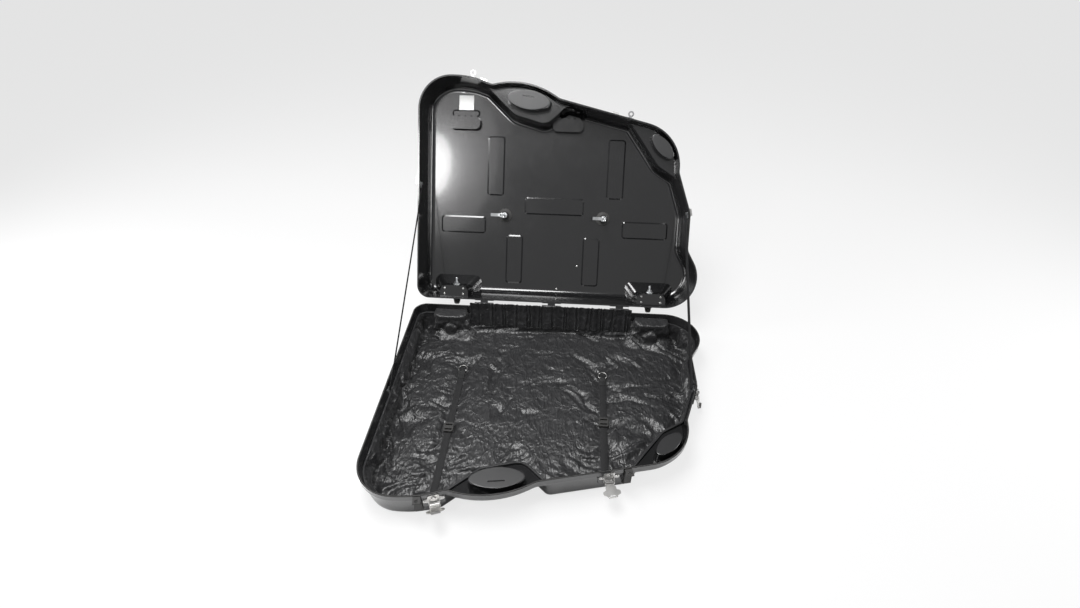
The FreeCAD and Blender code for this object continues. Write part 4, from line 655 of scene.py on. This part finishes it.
def bent_path(points, radius, steps=7):
    """A path with its corners rounded."""
    path = [points[0]]
    for before, corner, after in zip(points, points[1:], points[2:]):
        near = corner + (before - corner).normalized() * min(radius, (before - corner).length * 0.45)
        far = corner + (after - corner).normalized() * min(radius, (after - corner).length * 0.45)
        for step in range(steps + 1):
            share = step / steps
            path.append(near.lerp(corner, share).lerp(corner.lerp(far, share), share))
    return path + [points[-1]]


def spread(path, pitch):
    """The same path in steps no longer than pitch."""
    dense = [path[0]]
    for a, b in zip(path, path[1:]):
        count = max(1, math.ceil((b - a).length / pitch))
        dense += [a.lerp(b, step / count) for step in range(1, count + 1)]
    return dense


for side, x, wall_y in TIE_WALLS:
    slant = Vector((0, -math.sin(WALL_DRAFT), math.cos(WALL_DRAFT)))
    inwards = Vector((0, math.cos(WALL_DRAFT), math.sin(WALL_DRAFT)))
    top = Vector((x, wall_y, TIE_TOP_Z))
    foot = Vector((x, wall_y + TIE_FOOT_RUN, FLOOR_Z))
    rear = Vector((x, TIE_TURN_Y, FLOOR_Z))
    fold_front = [top - slant * 0.036 + inwards * 0.0024, top - slant * 0.024 + inwards * 0.0030,
                  top - slant * 0.016 + inwards * 0.0072, top - slant * 0.004 + inwards * 0.0066,
                  top + slant * 0.0026 + inwards * 0.0032]
    fold_rear = [rear + Vector((0, 0.0026, 0.0034)), rear + Vector((0, -0.004, 0.0070)),
                 rear + Vector((0, -0.016, 0.0073)), rear + Vector((0, -0.027, 0.0032)),
                 rear + Vector((0, -0.050, 0.0024))]
    path = spread(bent_path(fold_front + [top, foot, rear] + fold_rear, TIE_BEND), TIE_PITCH)
    bpy.ops.object.select_all(action="DESELECT")
    bpy.ops.mesh.primitive_plane_add(size=1, location=path[0])
    strap = bpy.context.object
    strap.name = f"tie_webbing_{side}"
    strap.scale = (TIE_WIDTH, TIE_THICK, 1)
    heading = (path[1] - path[0]).normalized()
    strap.rotation_euler = (math.atan2(-heading.y, heading.z), 0, 0)
    bpy.ops.object.transform_apply(location=True, rotation=True, scale=True)
    edit(strap)
    angle = math.atan2(-heading.y, heading.z)
    for here, there, after in zip(path, path[1:], path[2:] + [path[-1] * 2 - path[-2]]):
        bpy.ops.mesh.extrude_region_move(TRANSFORM_OT_translate={"value": there - here})
        ahead = (after - here).normalized()
        turned = math.atan2(-ahead.y, ahead.z)
        turn = (turned - angle + math.pi) % (2 * math.pi) - math.pi
        bpy.ops.transform.rotate(value=-turn, orient_axis="X", orient_type="GLOBAL", center_override=there)
        angle = turned
    bpy.ops.mesh.select_all(action="SELECT")
    settle()
    round_selvedge(strap, 0.0006, 60)
    strap.data.materials.append(tie_webbing)
    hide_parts(f"tie_strap_{side}")
    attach(strap, "base")
dress(nickel, "tie_rings")
dress(black_plastic, "tie_buckles")


# Wheel skewers: steel rods screwed into black posts on the lid's inner face, each with a round nut
# and a polished alloy cam lever.

alloy = metal_finish("lever_alloy", (0.60, 0.61, 0.62), 0.16, 0.34)
dress(zinc, "skewer_rod_left", "skewer_rod_right", "skewer_pins", "skewer_nuts")
dress(black_plastic, "skewer_posts")
dress(alloy, "skewer_lever_left", "skewer_lever_right")


# Blank label: a square of white coated paper stuck on the lid's inner face near its front edge,
# one corner a little lifted.

LABEL_SIDE, LABEL_U, LABEL_V, LABEL_DEPTH = 63, 175.5, 829.5, 126.6
PAPER_THICK = 0.0003
bpy.ops.object.select_all(action="DESELECT")
bpy.ops.mesh.primitive_grid_add(x_subdivisions=12, y_subdivisions=12, size=1)
label = bpy.context.object
label.name = "blank_label"
flat = positions(label.data)
stuck = np.empty_like(flat)
for i, (a, b, c) in enumerate(flat):
    lift = max(0, a + b - 0.72) ** 2 * 0.05
    flat_place = on_lid(LABEL_U + LABEL_SIDE * a, LABEL_V + LABEL_SIDE * b, LABEL_DEPTH)
    stuck[i] = flat_place + lid_facing * lift
set_positions(label.data, stuck)
weight = label.modifiers.new("paper", "SOLIDIFY")
weight.thickness = PAPER_THICK
weight.offset = 0
bpy.ops.object.modifier_apply(modifier="paper")
edit(label)
settle()
paper, shader, place = new_finish("label_paper", specular_ior_level=0.5)
fibre = place.grain(300, 3)
feed(shader, base_color=fibre.tint((0.78, 0.78, 0.77), (0.86, 0.86, 0.85)),
     roughness=fibre.between(0.3, 0.5))
label.data.materials.append(paper)
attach(label, "lid")


# Lid bolts: four nickel-plated button heads on the lid's inner face, their shanks through the
# moulding. One head is turned, domed and cut flat below, and the others are its copies.

BOLT_RADIUS, BOLT_DOME, BOLT_DEPTH = 0.0045, 0.55, 127
BOLTS = ((678, 151), (507, 409), (611, 410), (592, 45))
bpy.ops.object.select_all(action="DESELECT")
bpy.ops.mesh.primitive_uv_sphere_add(segments=20, ring_count=12, radius=BOLT_RADIUS)
head = bpy.context.object
head.name = "lid_bolt_0"
bpy.ops.object.mode_set(mode="EDIT")
bpy.ops.mesh.select_all(action="SELECT")
bpy.ops.mesh.bisect(plane_co=(0, 0, 0), plane_no=(0, 0, 1), clear_inner=True, use_fill=True)
bpy.ops.mesh.select_all(action="SELECT")
bpy.ops.transform.resize(value=(1, 1, BOLT_DOME), center_override=(0, 0, 0))
bpy.ops.mesh.normals_make_consistent(inside=False)
bpy.ops.object.mode_set(mode="OBJECT")
bpy.ops.object.shade_smooth_by_angle(angle=math.radians(35))
head.data.materials.append(nickel)
facing = lid_facing.to_track_quat("Z", "Y").to_matrix().to_4x4()
form = head.data.copy()
for number, (u, v) in enumerate(BOLTS):
    bolt = head if number == 0 else bpy.data.objects.new(f"lid_bolt_{number}", form.copy())
    if number:
        bpy.context.collection.objects.link(bolt)
    bolt.data.transform(Matrix.Translation(on_lid(u, v, BOLT_DEPTH)) @ facing)
    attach(bolt, "lid")


# Studio: a plain pale floor that runs out of view, soft lamps at both sides, above and in front,
# and the camera above the front of the open case.

bpy.ops.object.select_all(action="DESELECT")
bpy.ops.mesh.primitive_plane_add(size=60, location=(0, 0, -0.0005))
floor = bpy.context.object
floor.name = "studio_floor"
floor_paint = bpy.data.materials.new("studio_floor")
floor_paint.use_nodes = True
tree = floor_paint.node_tree
tree.nodes.clear()
paint = Value(tree)
lit = paint.node("ShaderNodeBsdfDiffuse", {}, {"Color": (0.86, 0.86, 0.86, 1)})
bright = paint.node("ShaderNodeEmission", {}, {"Color": (0.93, 0.93, 0.93, 1), "Strength": 1.0})
seen = paint.node("ShaderNodeLightPath", {}, {}, "Is Camera Ray")
floor_mix = paint.node("ShaderNodeMixShader", {}, {0: seen * 0.8, 1: lit, 2: bright})
output = tree.nodes.new("ShaderNodeOutputMaterial")
tree.links.new(floor_mix.socket, output.inputs["Surface"])
floor.data.materials.append(floor_paint)

world = bpy.data.worlds.new("studio")
bpy.context.scene.world = world
world.use_nodes = True
world.node_tree.nodes["Background"].inputs["Color"].default_value = (0.55, 0.56, 0.57, 1)
world.node_tree.nodes["Background"].inputs["Strength"].default_value = 0.27


def softbox(name, place, target, size, power):
    """A round-edged lamp that looks at a target."""
    lamp = bpy.data.lights.new(name, "AREA")
    lamp.shape = "ELLIPSE"
    lamp.size, lamp.size_y = size
    lamp.energy = power
    holder = bpy.data.objects.new(name, lamp)
    holder.location = place
    holder.rotation_euler = (Vector(target) - Vector(place)).to_track_quat("-Z", "Y").to_euler()
    bpy.context.collection.objects.link(holder)


softbox("left_window", (-1.22, -1.25, 2.1), (-0.5, 0.9, 0.6), (0.34, 0.6), 12)
softbox("left_glow", (-1.25, -1.6, 2.45), (-0.5, 0.9, 0.6), (1.1, 1.5), 7)
softbox("overhead", (-0.5, -0.1, 2.8), (0, 0.1, 0.1), (1.8, 1.0), 88)
softbox("room", (0.2, -3.6, 3.2), (0, 0.6, 0.4), (6.4, 5.2), 34)
softbox("left_strip", (-3.0, 0.2, 1.5), (0, 0.4, 0.3), (0.5, 2.4), 60)
softbox("right_strip", (3.0, 0.1, 1.6), (0, 0.4, 0.3), (0.5, 2.4), 50)

PICTURE_WIDTH_PX, FOCAL_PX, SENSOR_MM = 1080, 563.5, 36
CAMERA_DOWN, CAMERA_ROLL, CAMERA_TURN = 39.35, -0.16, 3.93
camera = bpy.data.cameras.new("camera")
camera.sensor_width = SENSOR_MM
camera.lens = FOCAL_PX / PICTURE_WIDTH_PX * SENSOR_MM
stand = bpy.data.objects.new("camera", camera)
stand.location = (0.0627, -1.3672, 1.6541)
stand.rotation_euler = [math.radians(a) for a in (90 - CAMERA_DOWN, CAMERA_ROLL, CAMERA_TURN)]
bpy.context.collection.objects.link(stand)
bpy.context.scene.camera = stand
bpy.context.scene.view_settings.view_transform = "Standard"
